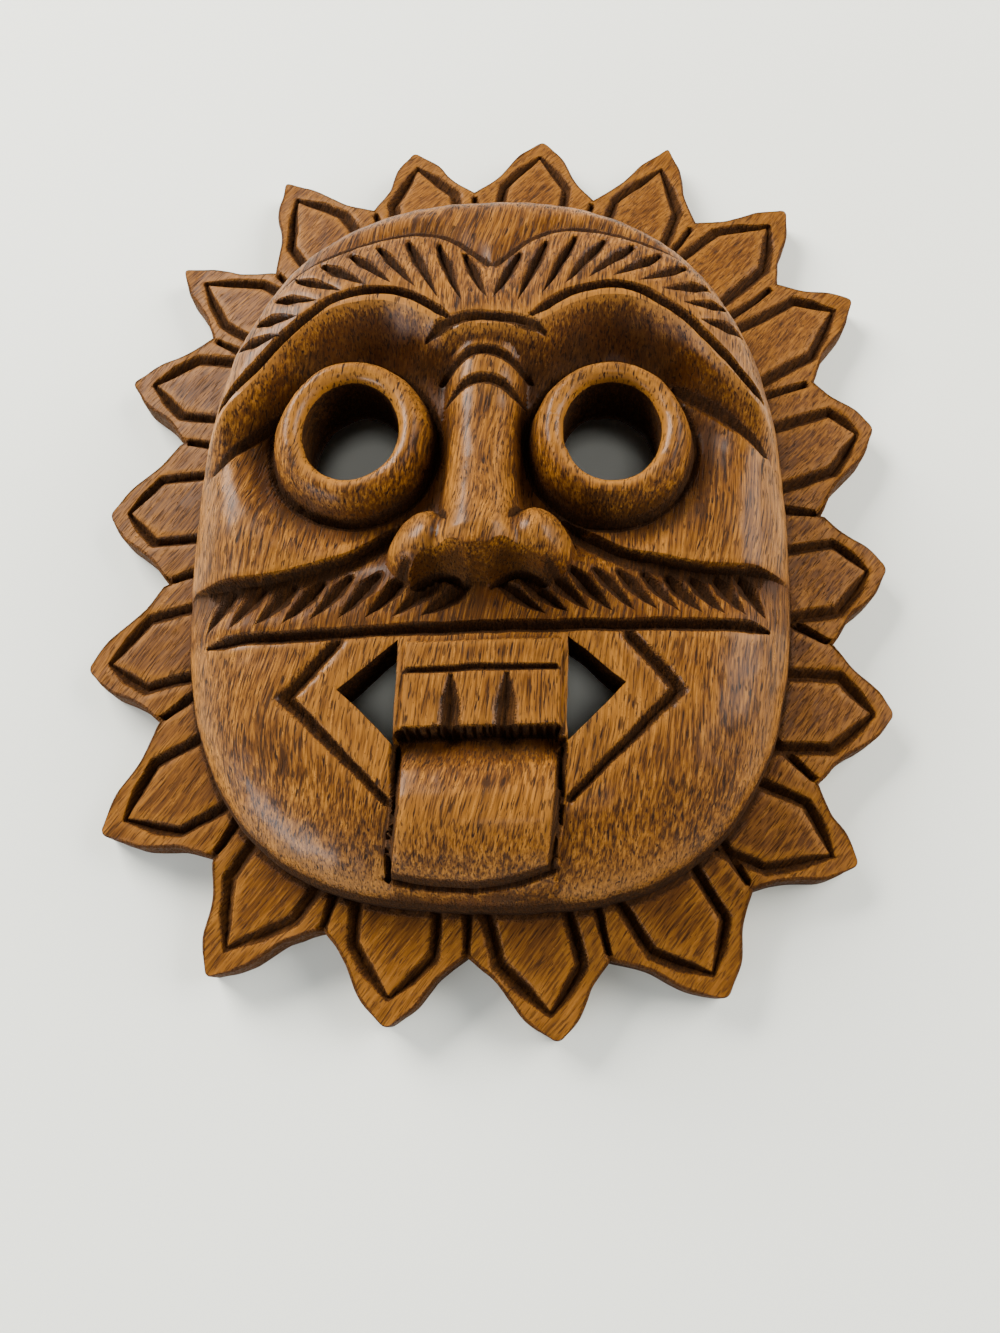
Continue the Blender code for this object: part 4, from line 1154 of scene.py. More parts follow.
@dataclass(frozen=True)
class StainAndShadeZones:
    """How dark each part of the face is, from staining and from painted shade in its hollows and under its
    overhangs.

    A plain number is how strong a zone is. A pair says where its edge starts and how far that
    takes, in pattern squares, or in widths of the eye's ring where it is about the ring.
    """

    brows: Brows
    eyes: Eyes
    nose: Nose
    mouth: Mouth
    # Painted shade in the eye sockets under the brows.
    socket: float = 0.6
    socket_under_brow: tuple = (0.0, 3.0)
    socket_end: tuple = (20.0, 16.0)
    socket_beside_nose: tuple = (9.0, 8.0)
    socket_outside_ring: tuple = (0.75, 0.3)
    socket_above_cheek: tuple = (2.0, 14.0)
    forehead: float = 0.34
    forehead_above_brow: tuple = (4.0, 8.0)
    # Painted shade just outside the lower part of each eye ring.
    under_eye_shade: float = 0.75
    under_eye_band: tuple = (1.25, 0.55)
    under_eye_top: tuple = (4.0, 14.0)
    under_eye_outside_ring: tuple = (0.8, 0.2)
    # Painted shade on the lower half of each eye ring's outer slope.
    ring_foot_shade: float = 0.85
    ring_foot_start: tuple = (0.24, 0.2)
    ring_foot_end: tuple = (1.0, 0.2)
    ring_foot_top: tuple = (-2.0, 18.0)
    rubbed_rim: float = 0.7
    rubbed_rim_end: tuple = (0.16, 0.16)
    rubbed_ridge: float = 0.8
    rubbed_ridge_band: tuple = (0.9, 1.7)
    # Painted shade on the steep sides of the nose.
    nose_side_shade: float = 0.45
    nose_side_start: tuple = (7.0, 4.0)
    nose_side_end: float = 15.0
    nose_side_bottom: float = -15.0
    nose_side_top: float = 30.0
    # Staining and painted shade over the upper lip, under the nose and the cheeks.
    lip: float = 1.15
    lip_below_cheek: tuple = (29.0, 5.0)
    lip_above_mouth: tuple = (-49.5, 3.0)
    # Painted shade on the step under the teeth.
    tooth_step_shade: float = 0.9
    tooth_step_reach: float = 0.9
    mouth_half_width: float = 21.5
    # Painted shadow on the tongue's root, under the teeth.
    tongue_root_shade: float = 0.8
    tongue_root_end: tuple = (5.0, 13.0)
    tongue_end: float = 0.7
    tongue_end_start: tuple = (101.0, 10.0)
    jaw_side: float = 0.35
    jaw_side_start: tuple = (44.0, 20.0)
    jaw_side_top: tuple = (72.0, 22.0)
    palest: float = -1.0
    darkest: float = 1.2

    def round_eyes(self, u: Array, v: Array, level: Array, out: Array) -> Array:
        """Paint shade into the sockets, under each eye and on the lower foot of each ring, give the forehead a
        darker staining, and rub the rims and brows.

        Args:
            u: Pattern squares across.
            v: Pattern squares up.
            level: Slanted pattern squares up.
            out: How far out in the nearer eye's ring each place is.

        Returns:
            The shares.
        """
        away = distance_to(u, v, self.brows.whole_ridge())
        # Painted shade in the sockets under the brows.
        socket = (past(-away, *self.socket_under_brow) * (1.0 - past(-away, *self.socket_end))
                  * past(np.abs(u), *self.socket_beside_nose))
        socket *= past(out, *self.socket_outside_ring) * past(level, *self.socket_above_cheek)
        # Painted shade just outside the lower part of each ring.
        under_eye_shade = (close_to(out, *self.under_eye_band) * (1.0 - past(level, *self.under_eye_top))
                     * past(out, *self.under_eye_outside_ring))
        # Painted shade on the lower half of each ring's outer slope.
        foot = past(out, *self.ring_foot_start) * (1.0 - past(out, *self.ring_foot_end))
        return (self.socket * socket + self.forehead * past(away, *self.forehead_above_brow)
                + self.under_eye_shade * under_eye_shade + self.ring_foot_shade * foot * (1.0 - past(v, *self.ring_foot_top))
                - self.rubbed_rim * (1.0 - past(out, *self.rubbed_rim_end))
                - self.rubbed_ridge * close_to(away, *self.rubbed_ridge_band))

    def round_mouth(self, u: Array, level: Array) -> Array:
        """Paint shade on the nose's sides, the step under the teeth and the tongue's root, paint staining and shade
        over the upper lip, and darken the tongue's end and the jaw with staining.

        Args:
            u: Pattern squares across.
            level: Slanted pattern squares up.

        Returns:
            The shares.
        """
        teeth_bottom, beside_nose = self.mouth.teeth_bottom, np.abs(u - self.nose.middle)
        # Painted shade on the steep sides of the nose.
        tone = self.nose_side_shade * past(beside_nose, *self.nose_side_start) * (beside_nose < self.nose_side_end)
        tone *= (level < self.nose_side_top) & (level > self.nose_side_bottom)
        # Staining and painted shade over the upper lip, under the nose and the cheeks.
        tone += self.lip * past(-level, *self.lip_below_cheek) * past(level, *self.lip_above_mouth)
        # Painted shade on the step under the teeth.
        tone += (self.tooth_step_shade * close_to(level, teeth_bottom, self.tooth_step_reach)
                 * (np.abs(u) < self.mouth_half_width))
        # Painted shadow on the tongue's root under the teeth, and staining at its end.
        tongue = (np.abs(u - self.mouth.tongue_middle) < self.mouth_half_width) & (level < teeth_bottom)
        tone += np.where(tongue, self.tongue_root_shade - past(teeth_bottom - level, *self.tongue_root_end)
                         + self.tongue_end * past(-level, *self.tongue_end_start), 0.0)
        return tone + self.jaw_side * past(np.abs(u), *self.jaw_side_start) * past(-level, *self.jaw_side_top)

    def at(self, x: Array, y: Array) -> Array:
        """Give how dark places are, from staining and from painted shade.

        Args:
            x: Places across.
            y: Places up.

        Returns:
            Shares, negative where it was rubbed pale and 1 where it is dark.
        """
        pattern = self.mouth.pattern
        u, v = x / pattern.square_across, y / pattern.square_up
        level = v - pattern.slant * u
        out = np.minimum(*[self.eyes.out(x, y, side) for side in Side])
        return np.clip(self.round_eyes(u, v, level, out) + self.round_mouth(u, level), self.palest, self.darkest)


class Drawing:
    """Points and lines on the plane, from which a surface is cut into triangles."""

    merge_distance: float = 0.00004

    def __init__(self) -> None:
        """Start with nothing drawn."""
        self.points: list[tuple[float, float]] = []
        self.lines: list[tuple[int, int]] = []

    def add_points(self, points: Array) -> None:
        """Add loose points."""
        self.points += [tuple(point) for point in points]

    def add_line(self, line: Array, closed: bool = False) -> None:
        """Add a line whose runs stay edges of the triangles.

        Args:
            line: Its points.
            closed: Whether the last point joins the first.
        """
        first = len(self.points)
        self.add_points(line)
        last = len(self.points) - 1
        self.lines += [(index, index + 1) for index in range(first, last)]
        if closed:
            self.lines.append((last, first))

    def thin(self, loose: Array, gap: float) -> Array:
        """Drop the loose points that crowd the drawn lines.

        Args:
            loose: The loose points.
            gap: The size of the cells in which a drawn point and a loose one can't both be.

        Returns:
            The points that stay.
        """
        runs = [divided(np.array([self.points[a], self.points[b]]), gap * 0.7) for a, b in self.lines]
        drawn = np.vstack(runs)
        taken = []
        for shift_x in (-0.5, 0.5):
            for shift_y in (-0.5, 0.5):
                cells = np.floor(drawn / gap + (shift_x, shift_y)).astype(np.int64)
                taken.append(cells[:, 0] * 1000003 + cells[:, 1])
        cells = np.floor(loose / gap).astype(np.int64)
        return loose[~np.isin(cells[:, 0] * 1000003 + cells[:, 1], np.unique(np.concatenate(taken)))]

    def triangles(self, outer: Array, holes: list[Array]) -> tuple[Array, Array]:
        """Cut the drawing into triangles.

        Args:
            outer: The outer loop.
            holes: The loops inside which nothing is kept.

        Returns:
            Points, and triangles wound anticlockwise.
        """
        made = delaunay_2d_cdt([Vector(point) for point in self.points], self.lines, [], 0, self.merge_distance)
        points = np.array([tuple(point) for point in made[0]])
        faces = np.array([tuple(face) for face in made[2]])
        corners = points[faces]
        middles = corners.mean(axis=1)
        keep = inside(middles, outer)
        for hole in holes:
            keep &= ~inside(middles, hole)
        one, two = corners[:, 1] - corners[:, 0], corners[:, 2] - corners[:, 0]
        area = one[:, 0] * two[:, 1] - one[:, 1] * two[:, 0]
        faces = np.where((area > 0)[:, None], faces, faces[:, ::-1])[keep]
        used = np.unique(faces)
        renumbered = np.zeros(len(points), int)
        renumbered[used] = np.arange(len(used))
        return points[used], renumbered[faces]


def put_in_scene(name: str, data: bpy.types.ID) -> bpy.types.Object:
    """Make an object and put it in the scene.

    Args:
        name: Its name.
        data: Its mesh, light or camera.

    Returns:
        The object.
    """
    made = bpy.data.objects.new(name, data)
    bpy.context.collection.objects.link(made)
    return made


def lattice(low: Array, high: Array, step: float, height: HeightRule, tolerance: float) -> Array:
    """Lay a triangular lattice that is twice as fine where the surface bends.

    Args:
        low: The lowest corner of the area.
        high: The highest corner.
        step: The fine step.
        height: The rule of the surface.
        tolerance: How far the coarse lattice may stray from the surface.

    Returns:
        The points.
    """
    rows = int((high[1] - low[1]) / (step * ROW_RISE) / 2) * 2 + 3
    columns = int((high[0] - low[0]) / step / 2) * 2 + 3
    row, column = np.meshgrid(np.arange(rows), np.arange(columns), indexing="ij")
    x = low[0] + (column + (row % 4) / 2) * step
    x = np.where(row % 4 == 3, low[0] + (column - 0.5) * step, x)
    y = low[1] + row * step * ROW_RISE
    level = height(np.column_stack([x.ravel(), y.ravel()])).reshape(x.shape)
    rough = np.zeros(x.shape)
    spread = (np.abs(np.roll(level, 1, 1) + np.roll(level, -1, 1) - 2 * level) / 2,
              np.abs(np.roll(level, 2, 0) + np.roll(level, -2, 0) - 2 * level) / 4)
    for part in spread:
        rough = np.maximum(rough, part)
    for axis in (0, 1):
        rough = np.maximum(rough, np.maximum(np.roll(rough, 1, axis), np.roll(rough, -1, axis)))
    coarse = (row % 2 == 0) & (column % 2 == 0)
    keep = coarse | (rough > tolerance)
    return np.column_stack([x[keep], y[keep]])


def boundary_loops(faces: Array) -> list[list[int]]:
    """Join the open edges of triangles into loops.

    Args:
        faces: The triangles.

    Returns:
        The loops, each in the triangles' own direction.
    """
    count = int(faces.max()) + 1
    ahead = np.vstack([faces[:, [0, 1]], faces[:, [1, 2]], faces[:, [2, 0]]]).astype(np.int64)
    codes, reverse = ahead[:, 0] * count + ahead[:, 1], ahead[:, 1] * count + ahead[:, 0]
    open_edges = ahead[~np.isin(codes, reverse)]
    following = {int(start): int(end) for start, end in open_edges}
    loops = []
    while following:
        start = min(following)
        loop = [start]
        step = following.pop(start)
        while step != start:
            loop.append(step)
            step = following.pop(step)
        loops.append(loop)
    return loops


def matched(points: Array, inner: Array, outers: list[Array]) -> list[Array]:
    """Find the places on other loops that match points on one of them.

    Args:
        points: Points on the first loop.
        inner: That loop.
        outers: The other loops, with as many corners.

    Returns:
        The matching places on each of the others.
    """
    runs = np.roll(inner, -1, axis=0) - inner
    moved: list[list[Array]] = [[] for _ in outers]
    for point in points:
        away = point - inner
        along = np.clip((away * runs).sum(axis=1) / (runs**2).sum(axis=1), 0.0, 1.0)
        nearest = int(np.argmin(np.hypot(*(away - runs * along[:, None]).T)))
        for places, outer in zip(moved, outers):
            following = outer[(nearest + 1) % len(outer)]
            places.append(outer[nearest] + (following - outer[nearest]) * along[nearest])
    return [np.array(places) for places in moved]


def strip(upper: Array, lower: Array) -> Array:
    """Put two triangles between each pair of neighbours on two rings.

    Args:
        upper: Corner numbers of the upper ring.
        lower: Corner numbers of the lower ring.

    Returns:
        The triangles.
    """
    upper_next, lower_next = np.roll(upper, -1), np.roll(lower, -1)
    return np.vstack([np.column_stack([upper, lower, lower_next]), np.column_stack([upper, lower_next, upper_next])])


@dataclass
class Body:
    """A closed body of triangles with what each corner wears."""

    corners: Array
    faces: Array
    worn: dict[str, Array]

    def neighbour_mean(self, values: Array, weight: float) -> Array:
        """Blend each corner's value with the mean of its neighbours.

        Args:
            values: One value for each corner.
            weight: How much of the mean to take.

        Returns:
            The blended values.
        """
        one = np.concatenate([self.faces[:, 0], self.faces[:, 1], self.faces[:, 2]])
        two = np.concatenate([self.faces[:, 1], self.faces[:, 2], self.faces[:, 0]])
        count = np.bincount(one, minlength=len(values)) + np.bincount(two, minlength=len(values))
        total = np.bincount(one, values[two], len(values)) + np.bincount(two, values[one], len(values))
        return values * (1 - weight) + total / np.maximum(count, 1) * weight

    def loose_edges(self) -> int:
        """Count the edges that don't join exactly two triangles.

        Returns:
            Their number, 0 on a closed body.
        """
        pairs = np.sort(np.vstack([self.faces[:, [0, 1]], self.faces[:, [1, 2]], self.faces[:, [2, 0]]]), axis=1)
        codes = pairs[:, 0].astype(np.int64) * len(self.corners) + pairs[:, 1]
        _, shared = np.unique(codes, return_counts=True)
        return int((shared != 2).sum())

    def normals(self) -> Array:
        """Find the direction that each corner faces.

        Returns:
            One unit vector for each corner.
        """
        corners = self.corners[self.faces]
        across = np.cross(corners[:, 1] - corners[:, 0], corners[:, 2] - corners[:, 0])
        total = np.stack([sum(np.bincount(self.faces[:, k], across[:, axis], len(self.corners)) for k in range(3))
                          for axis in range(3)], axis=1)
        return total / np.maximum(np.linalg.norm(total, axis=1), 1e-12)[:, None]


@dataclass
class SunMask:
    """The whole mask: one piece of wood, carved in front and hollowed behind."""

    rays: RayRing = field(default_factory=RayRing)
    face_land: float = 0.0130
    face_end_land: float = 0.0157
    pattern_across: float = 86.0
    pattern_up: float = 111.5
    rim_width: float = 0.0120
    wall: float = 0.0100
    edge_round: float = 0.0011
    back_round: float = 0.0006
    step: float = 0.00075
    tolerance: float = 0.00003
    line_step: float = 0.00085
    edge_steps: int = 7
    round_steps: int = 4
    hollow_step: float = 0.0018
    wander: float = 0.00024
    rubs: int = 1
    sharp_angle: float = math.radians(26.0)
    foot_shares: tuple = ((1.0, 640), (0.9985, 640), (0.994, 600), (0.986, 560), (0.974, 540))
    face_edge: float = 0.9995
    eye_ring_shares: tuple = (0.05, 0.1, 0.16, 0.32)
    # Painted shade at the foot of each step: where it starts, how far it takes, and how strong it is.
    slope_foot_shade: tuple = (0.66, 0.25)
    slope_shade_share: float = 0.8
    scoop_size: tuple = (0.0105, 0.024)
    scoop_shift: float = 0.37
    scoop_unevenness: float = 0.15
    scoop_ridge: float = 0.0011
    rim_shares: tuple = ((1.0, 300), (0.985, 300), (0.95, 260))
    hollow_tolerance: float = 0.00012
    hole_rim_drop: float = 0.0012
    hole_flare: float = 1.02
    edge_stain: float = 0.25
    hole_stain: float = 0.75
    back_stain: float = 0.15
    back_tone: float = 0.2
    # How far the painted shade reaches from the foot of the face, where it meets the rays.
    foot_shade_reach: float = 0.011
    # Where the painted shade on the step under the teeth lies and how far it reaches.
    tooth_step_shade_band: tuple = (-0.3, 0.8)
    teeth_half_width: float = 21.0
    dent: float = 0.00010
    raggedness: float = 0.0003
    scoop_depth: float = 0.0005
    scoop_share: float = 0.35
    scoop_mean: float = 0.3

    def __post_init__(self) -> None:
        """Lay out the parts of the face from the ring of rays."""
        self.face = FaceBlock(self.rays.valley_half_width - self.face_land,
                              self.rays.valley_half_length - self.face_end_land, self.face_land)
        self.pattern = Pattern(self.face.half_width / self.pattern_across, self.face.half_length / self.pattern_up)
        self.brows, self.eyes = Brows(self.pattern), Eyes(self.pattern)
        self.nose, self.cheeks, self.mouth = Nose(self.pattern), Cheeks(self.pattern), Mouth(self.pattern)
        self.ray_cuts = self.rays.cuts(self.face)
        self.slopes = self.brows.slopes() + self.cheeks.slopes()
        self.cuts = self.brows.cuts() + self.eyes.cuts() + self.nose.cuts() + self.mouth.cuts()
        self.zones = StainAndShadeZones(self.brows, self.eyes, self.nose, self.mouth)

    def uncut_face(self, x: Array, y: Array, radius: Array) -> Array:
        """Raise the face before any line is cut into it.

        Args:
            x: Places across.
            y: Places up.
            radius: Shares of the face's size.

        Returns:
            Heights over the back.
        """
        u, v = x / self.pattern.square_across, y / self.pattern.square_up
        level = v - self.pattern.slant * u
        surface, fade = self.face.dome(radius, v)
        surface = surface + self.brows.mass(u, v) * fade
        surface += self.cheeks.height * self.cheeks.swell(u, level) * fade
        ground = self.face.height
        for side in Side:
            out = self.eyes.out(x, y, side)
            surface -= self.eyes.socket_depth * (1.0 - ease((out - 1.0) / self.eyes.socket_reach)) * fade
            surface = np.maximum(surface, self.eyes.ring(out, ground) + ground)
        surface = np.maximum(surface, self.nose.height(u, level, ground) + ground)
        return self.rays.root_thickness + surface + self.mouth.raised(u, level)

    def front(self, points: Array) -> tuple[Array, Array]:
        """Give the carved front.

        Args:
            points: Places on the plane.

        Returns:
            Heights over the back, and how far into a cut each place is, which paints staining and shade there, with
            painted shade at the foot of each step.
        """
        x, y = points[:, 0], points[:, 1]
        radius = self.face.radius(x, y)
        reach = np.clip((radius - 1.0) * self.face.half_width / (self.face_land + self.rays.ray_length), 0.0, 1.0)
        petal_depth, petal_stain_and_shade = carve(self.ray_cuts, x, y)
        thin = self.rays.tip_thickness - self.rays.root_thickness
        plate = self.rays.root_thickness + thin * reach - petal_depth
        slope_depth, slope_foot_shade = carve(self.slopes, x, y)
        cut_depth, cut_stain_and_shade = carve(self.cuts, x, y)
        # Painted shade at the foot of each step in the face.
        cut_stain_and_shade = np.maximum(cut_stain_and_shade, past(slope_foot_shade, *self.slope_foot_shade) * self.slope_shade_share)
        on_face = radius < self.face_edge
        carved = self.uncut_face(x, y, radius) - slope_depth - cut_depth
        return np.where(on_face, carved, plate), np.where(on_face, cut_stain_and_shade, petal_stain_and_shade)

    def front_height(self, points: Array) -> Array:
        """Give only the heights of the carved front."""
        return self.front(points)[0]

    def hollow_height(self, points: Array) -> Array:
        """Give the hollow behind the face with the scoops a gouge leaves.

        Args:
            points: Places on the plane.

        Returns:
            Heights over the back plane, 0 on the rim.
        """
        x, y = points[:, 0], points[:, 1]
        radius = self.face.radius(x, y, self.rim_width)
        depth = self.rays.root_thickness + self.face.height - self.wall
        bowl = depth * np.sqrt(np.clip(1.0 - radius**4, 0.0, 1.0))
        scoop_x, scoop_y = x / self.scoop_size[0], y / self.scoop_size[1]
        shifted = (scoop_y + np.floor(scoop_x) * self.scoop_shift
                   + self.scoop_unevenness * Unevenness(31, 0.011).at(x, y))
        ridge = np.minimum(np.abs(scoop_x % 1.0 - 0.5), 0.5) * 1.3 + np.abs(shifted % 1.0 - 0.5) * 0.5
        return bowl - self.scoop_ridge * ridge * ease((1.0 - radius) * 6.0)

    def front_drawing(self, top_edge: Array, holes: list[Array]) -> Drawing:
        """Draw the front with every line that the carving follows.

        Args:
            top_edge: The edge of the front.
            holes: The edges of the holes.

        Returns:
            The drawing.
        """
        drawing = Drawing()
        drawing.add_line(top_edge, closed=True)
        for hole in holes:
            drawing.add_line(hole, closed=True)
        for share, count in self.foot_shares:
            drawing.add_line(self.face.ring(share, count), closed=True)
        for side in Side:
            for share in self.eye_ring_shares:
                drawing.add_line(self.eyes.circle(side, self.eyes.ring_land * share, 150), closed=True)
        safe_edge = inset_loop(top_edge, 0.0005)
        lines = [path for cut in self.ray_cuts + self.slopes + self.cuts for path in cut.paths()]
        lines += [self.pattern.place(self.brows.line(self.brows.ridge[:-1], side, 4), slanted=False)
                  for side in Side]
        lines += self.nose.edge_lines(self.face.height) + self.mouth.tooth_lines()
        for line in lines:
            fine = divided(line, self.line_step)
            kept = inside(fine, safe_edge)
            for hole in holes:
                wide = hole.mean(axis=0) + (hole - hole.mean(axis=0)) * 1.05
                kept &= ~inside(fine, wide)
            breaks = np.flatnonzero(np.diff(kept.astype(int))) + 1
            for part, good in zip(np.split(fine, breaks), np.split(kept, breaks)):
                if good[0] and len(part) > 1:
                    drawing.add_line(part)
        return drawing

    def wear(self, body: Body, front_count: int) -> None:
        """Rub down the sharp edges, record where the wood is proud, and record how deep it lies in its hollows,
        which darkens them with staining and painted shade.

        Args:
            body: The body, changed in place.
            front_count: How many of its first corners are on the front.
        """
        height = body.corners[:, 2].copy()
        front = np.zeros(len(height))
        front[:front_count] = 1.0
        for _ in range(self.rubs):
            proud = np.maximum(height - body.neighbour_mean(height, 1.0), 0.0)
            height -= 0.4 * np.minimum(proud, 0.0004) * front
        body.corners[:, 2] = height
        near, far = height.copy(), height.copy()
        for _ in range(6):
            near = body.neighbour_mean(near, 0.8)
        for _ in range(60):
            far = body.neighbour_mean(far, 0.9)
        body.worn["proud"] = np.clip((height - near) / 0.0003, -1.0, 1.0) * front
        # Depth below the surroundings: the hollows get staining and painted shade.
        body.worn["sunk"] = np.clip((far - height) / 0.0016, -1.0, 1.0) * front

    def geometry(self) -> Body:
        """Carve the whole mask.

        Returns:
            One closed body.
        """
        outline = self.rays.outline(self.edge_steps, 7)
        plain = self.rays.outline(1, 2)
        turns = [math.pi / 2 * index / self.round_steps for index in range(self.round_steps + 1)]
        rounds = [(self.edge_round * (1 - math.sin(turn)), self.edge_round * (1 - math.cos(turn))) for turn in turns]
        sturdy = self.rays.sturdiness(outline)
        rings_2d = [inset_loop(outline, inset * sturdy) for inset, _ in rounds]
        top_edge = rings_2d[0]
        holes = [self.eyes.circle(side, 0.0, 130) for side in Side] + [self.mouth.hole_loop(side) for side in Side]
        drawing = self.front_drawing(top_edge, holes)
        loose = lattice(outline.min(axis=0), outline.max(axis=0), self.step, self.front_height, self.tolerance)
        drawing.add_points(drawing.thin(loose, self.step * 0.8))
        points, faces = drawing.triangles(top_edge, holes)
        height, stain = self.front(points)
        front_count = len(points)
        loops = boundary_loops(faces)
        outer = max(loops, key=len)
        corners, all_faces, stain_and_shade_parts = [np.column_stack([points, height])], [faces], [stain]
        count = front_count
        back, back_rings = Drawing(), []
        for loop in loops:
            ring, top = np.array(loop), corners[0][loop]
            if loop is outer:
                back_edge = inset_loop(outline, self.back_round * sturdy)
                places = matched(points[loop], top_edge, rings_2d[1:] + [outline, back_edge])
                levels = [top[:, 2] - drop for _, drop in rounds[1:]] + [np.full(len(loop), self.back_round)]
                foot = places[-1]
                places = places[:-1]
            else:
                centre = points[loop].mean(axis=0)
                places = [points[loop], points[loop]]
                levels = [top[:, 2] - self.hole_rim_drop, (top[:, 2] * 0.45 + 0.012)]
                foot = centre + (points[loop] - centre) * self.hole_flare
            for place, level in zip(places, levels):
                corners.append(np.column_stack([place, level]))
                stain_and_shade_parts.append(np.full(len(loop), self.edge_stain if loop is outer else self.hole_stain))
                lower = np.arange(len(loop)) + count
                all_faces.append(strip(ring, lower))
                ring, count = lower, count + len(loop)
            back_rings.append((ring, foot))
            back.add_line(foot, closed=True)
        for share, ring_count in self.rim_shares:
            back.add_line(self.face.ring(share, ring_count, self.rim_width), closed=True)
        spread = lattice(outline.min(axis=0), outline.max(axis=0), self.hollow_step, self.hollow_height,
                         self.hollow_tolerance)
        back.add_points(back.thin(spread, self.hollow_step * 0.7))
        outer_at = [loop is outer for loop in loops].index(True)
        back_holes = [foot for index, (_, foot) in enumerate(back_rings) if index != outer_at]
        back_points, back_faces = back.triangles(back_rings[outer_at][1], back_holes)
        corners.append(np.column_stack([back_points, self.hollow_height(back_points)]))
        stain_and_shade_parts.append(np.full(len(back_points), self.back_stain))
        all_faces.append(back_faces[:, ::-1] + count)
        for ring, foot in back_rings:
            nearest = [int(np.argmin(np.hypot(*(back_points - point).T))) for point in foot]
            all_faces.append(strip(ring, np.array(nearest) + count))
        body = Body(np.vstack(corners), np.vstack(all_faces), {"stain": np.concatenate(stain_and_shade_parts)})
        self.wear(body, front_count)
        self.dress_corners(body, front_count)
        body.corners[:, :2] -= (plain.min(axis=0) + plain.max(axis=0)) / 2
        return body

    def dress_corners(self, body: Body, front_count: int) -> None:
        """Record the staining and the painted shade at each corner, and let the hand wander.

        Args:
            body: The body, changed in place.
            front_count: How many of its first corners are on the front.
        """
        flat = body.corners[:, :2].copy()
        radius = self.face.radius(flat[:, 0], flat[:, 1])
        body.worn["ring"] = (radius >= self.face_edge).astype(float)
        # Staining of the face's zones, with painted shade in the sockets, round the eye rings, beside and under the
        # nose and under the teeth.
        body.worn["tone"] = self.zones.at(flat[:, 0], flat[:, 1]) * (radius < self.face_edge)
        body.worn["tone"][front_count:] = self.back_tone
        # Painted shade along the foot of the face, where it meets the rays.
        foot = close_to(radius, 1.0, self.foot_shade_reach) * (np.arange(len(radius)) < front_count)
        level = flat[:, 1] / self.pattern.square_up - self.pattern.slant * flat[:, 0] / self.pattern.square_across
        # Painted shade on the step under the teeth.
        under_teeth_shade = close_to(level - self.mouth.teeth_bottom, *self.tooth_step_shade_band)
        under_teeth_shade *= np.abs(flat[:, 0]) < self.teeth_half_width * self.pattern.square_across
        under_teeth_shade[front_count:] = 0.0
        body.worn["stain"] = np.maximum(body.worn["stain"], np.maximum(foot, under_teeth_shade))
        hidden = np.zeros(len(radius))
        hidden[front_count:] = 1.0
        body.worn["hidden"] = hidden
        x, y = flat[:, 0], flat[:, 1]
        body.corners[:, 0] += self.wander * (Unevenness(5, 0.009).at(x, y) + 0.6 * Unevenness(6, 0.0035).at(x, y))
        body.corners[:, 1] += self.wander * (Unevenness(7, 0.009).at(x, y) + 0.6 * Unevenness(8, 0.0035).at(x, y))
        dents = Unevenness(9, 0.007).at(x, y) + 0.5 * Unevenness(10, 0.0024).at(x, y)
        ragged = Unevenness(11, 0.0011).at(x, y) * np.clip(body.worn["stain"], 0.0, 1.0)
        scoops = Unevenness(12, 0.0075).scoops(x, y) * (self.scoop_share + np.clip(body.worn["tone"], 0.0, 0.8))
        moved = self.dent * dents + self.raggedness * ragged + self.scoop_depth * (scoops - self.scoop_mean)
        body.corners[:front_count, 2] += moved[:front_count]
        normals = body.normals()
        grain = np.array(FACE_GRAIN)
        body.worn["end_grain"] = np.abs(normals @ (grain / np.linalg.norm(grain)))

    def build(self) -> bpy.types.Object:
        """Make the mask's object from its body.

        Returns:
            The object, not yet dressed.
        """
        body = self.geometry()
        log.info("carved body: %d triangles, %d loose edges", len(body.faces), body.loose_edges())
        mesh = bpy.data.meshes.new("carved_mask")
        mesh.from_pydata(body.corners.tolist(), [], body.faces.tolist())
        mesh.shade_smooth()
        mesh.set_sharp_from_angle(angle=self.sharp_angle)
        for name, values in body.worn.items():
            layer = mesh.attributes.new(name, "FLOAT", "POINT")
            layer.data.foreach_set("value", values.astype(np.float32))
        return put_in_scene("carved_mask", mesh)


class Value:
    """A socket of a shader tree, with arithmetic written as Python operators."""

    def __init__(self, tree: "Shading", socket: bpy.types.NodeSocket) -> None:
        """Wrap a socket.

        Args:
            tree: The tree it belongs to.
            socket: The output socket.
        """
        self.tree, self.socket = tree, socket

    def __add__(self, other: "Value | float") -> "Value":
        """Add."""
        return self.tree.maths("ADD", self, other)

    def __radd__(self, other: float) -> "Value":
        """Add to a number."""
        return self.tree.maths("ADD", other, self)

    def __sub__(self, other: "Value | float") -> "Value":
        """Subtract."""
        return self.tree.maths("SUBTRACT", self, other)

    def __rsub__(self, other: float) -> "Value":
        """Subtract from a number."""
        return self.tree.maths("SUBTRACT", other, self)

    def __mul__(self, other: "Value | float") -> "Value":
        """Multiply."""
        return self.tree.maths("MULTIPLY", self, other)

    def __rmul__(self, other: float) -> "Value":
        """Multiply a number."""
        return self.tree.maths("MULTIPLY", other, self)

    def clamped(self) -> "Value":
        """Keep the value from 0 to 1."""
        return self.tree.maths("ADD", self, 0.0, clamp=True)

    def between(self, low: float, high: float) -> "Value":
        """Ease from 0 at one value to 1 at another.

        Args:
            low: Where it gives 0.
            high: Where it gives 1.

        Returns:
            The eased share.
        """
        node = self.tree.node("ShaderNodeMapRange", {"interpolation_type": "SMOOTHSTEP"},
                              {"Value": self, "From Min": low, "From Max": high})
        return Value(self.tree, node.outputs["Result"])


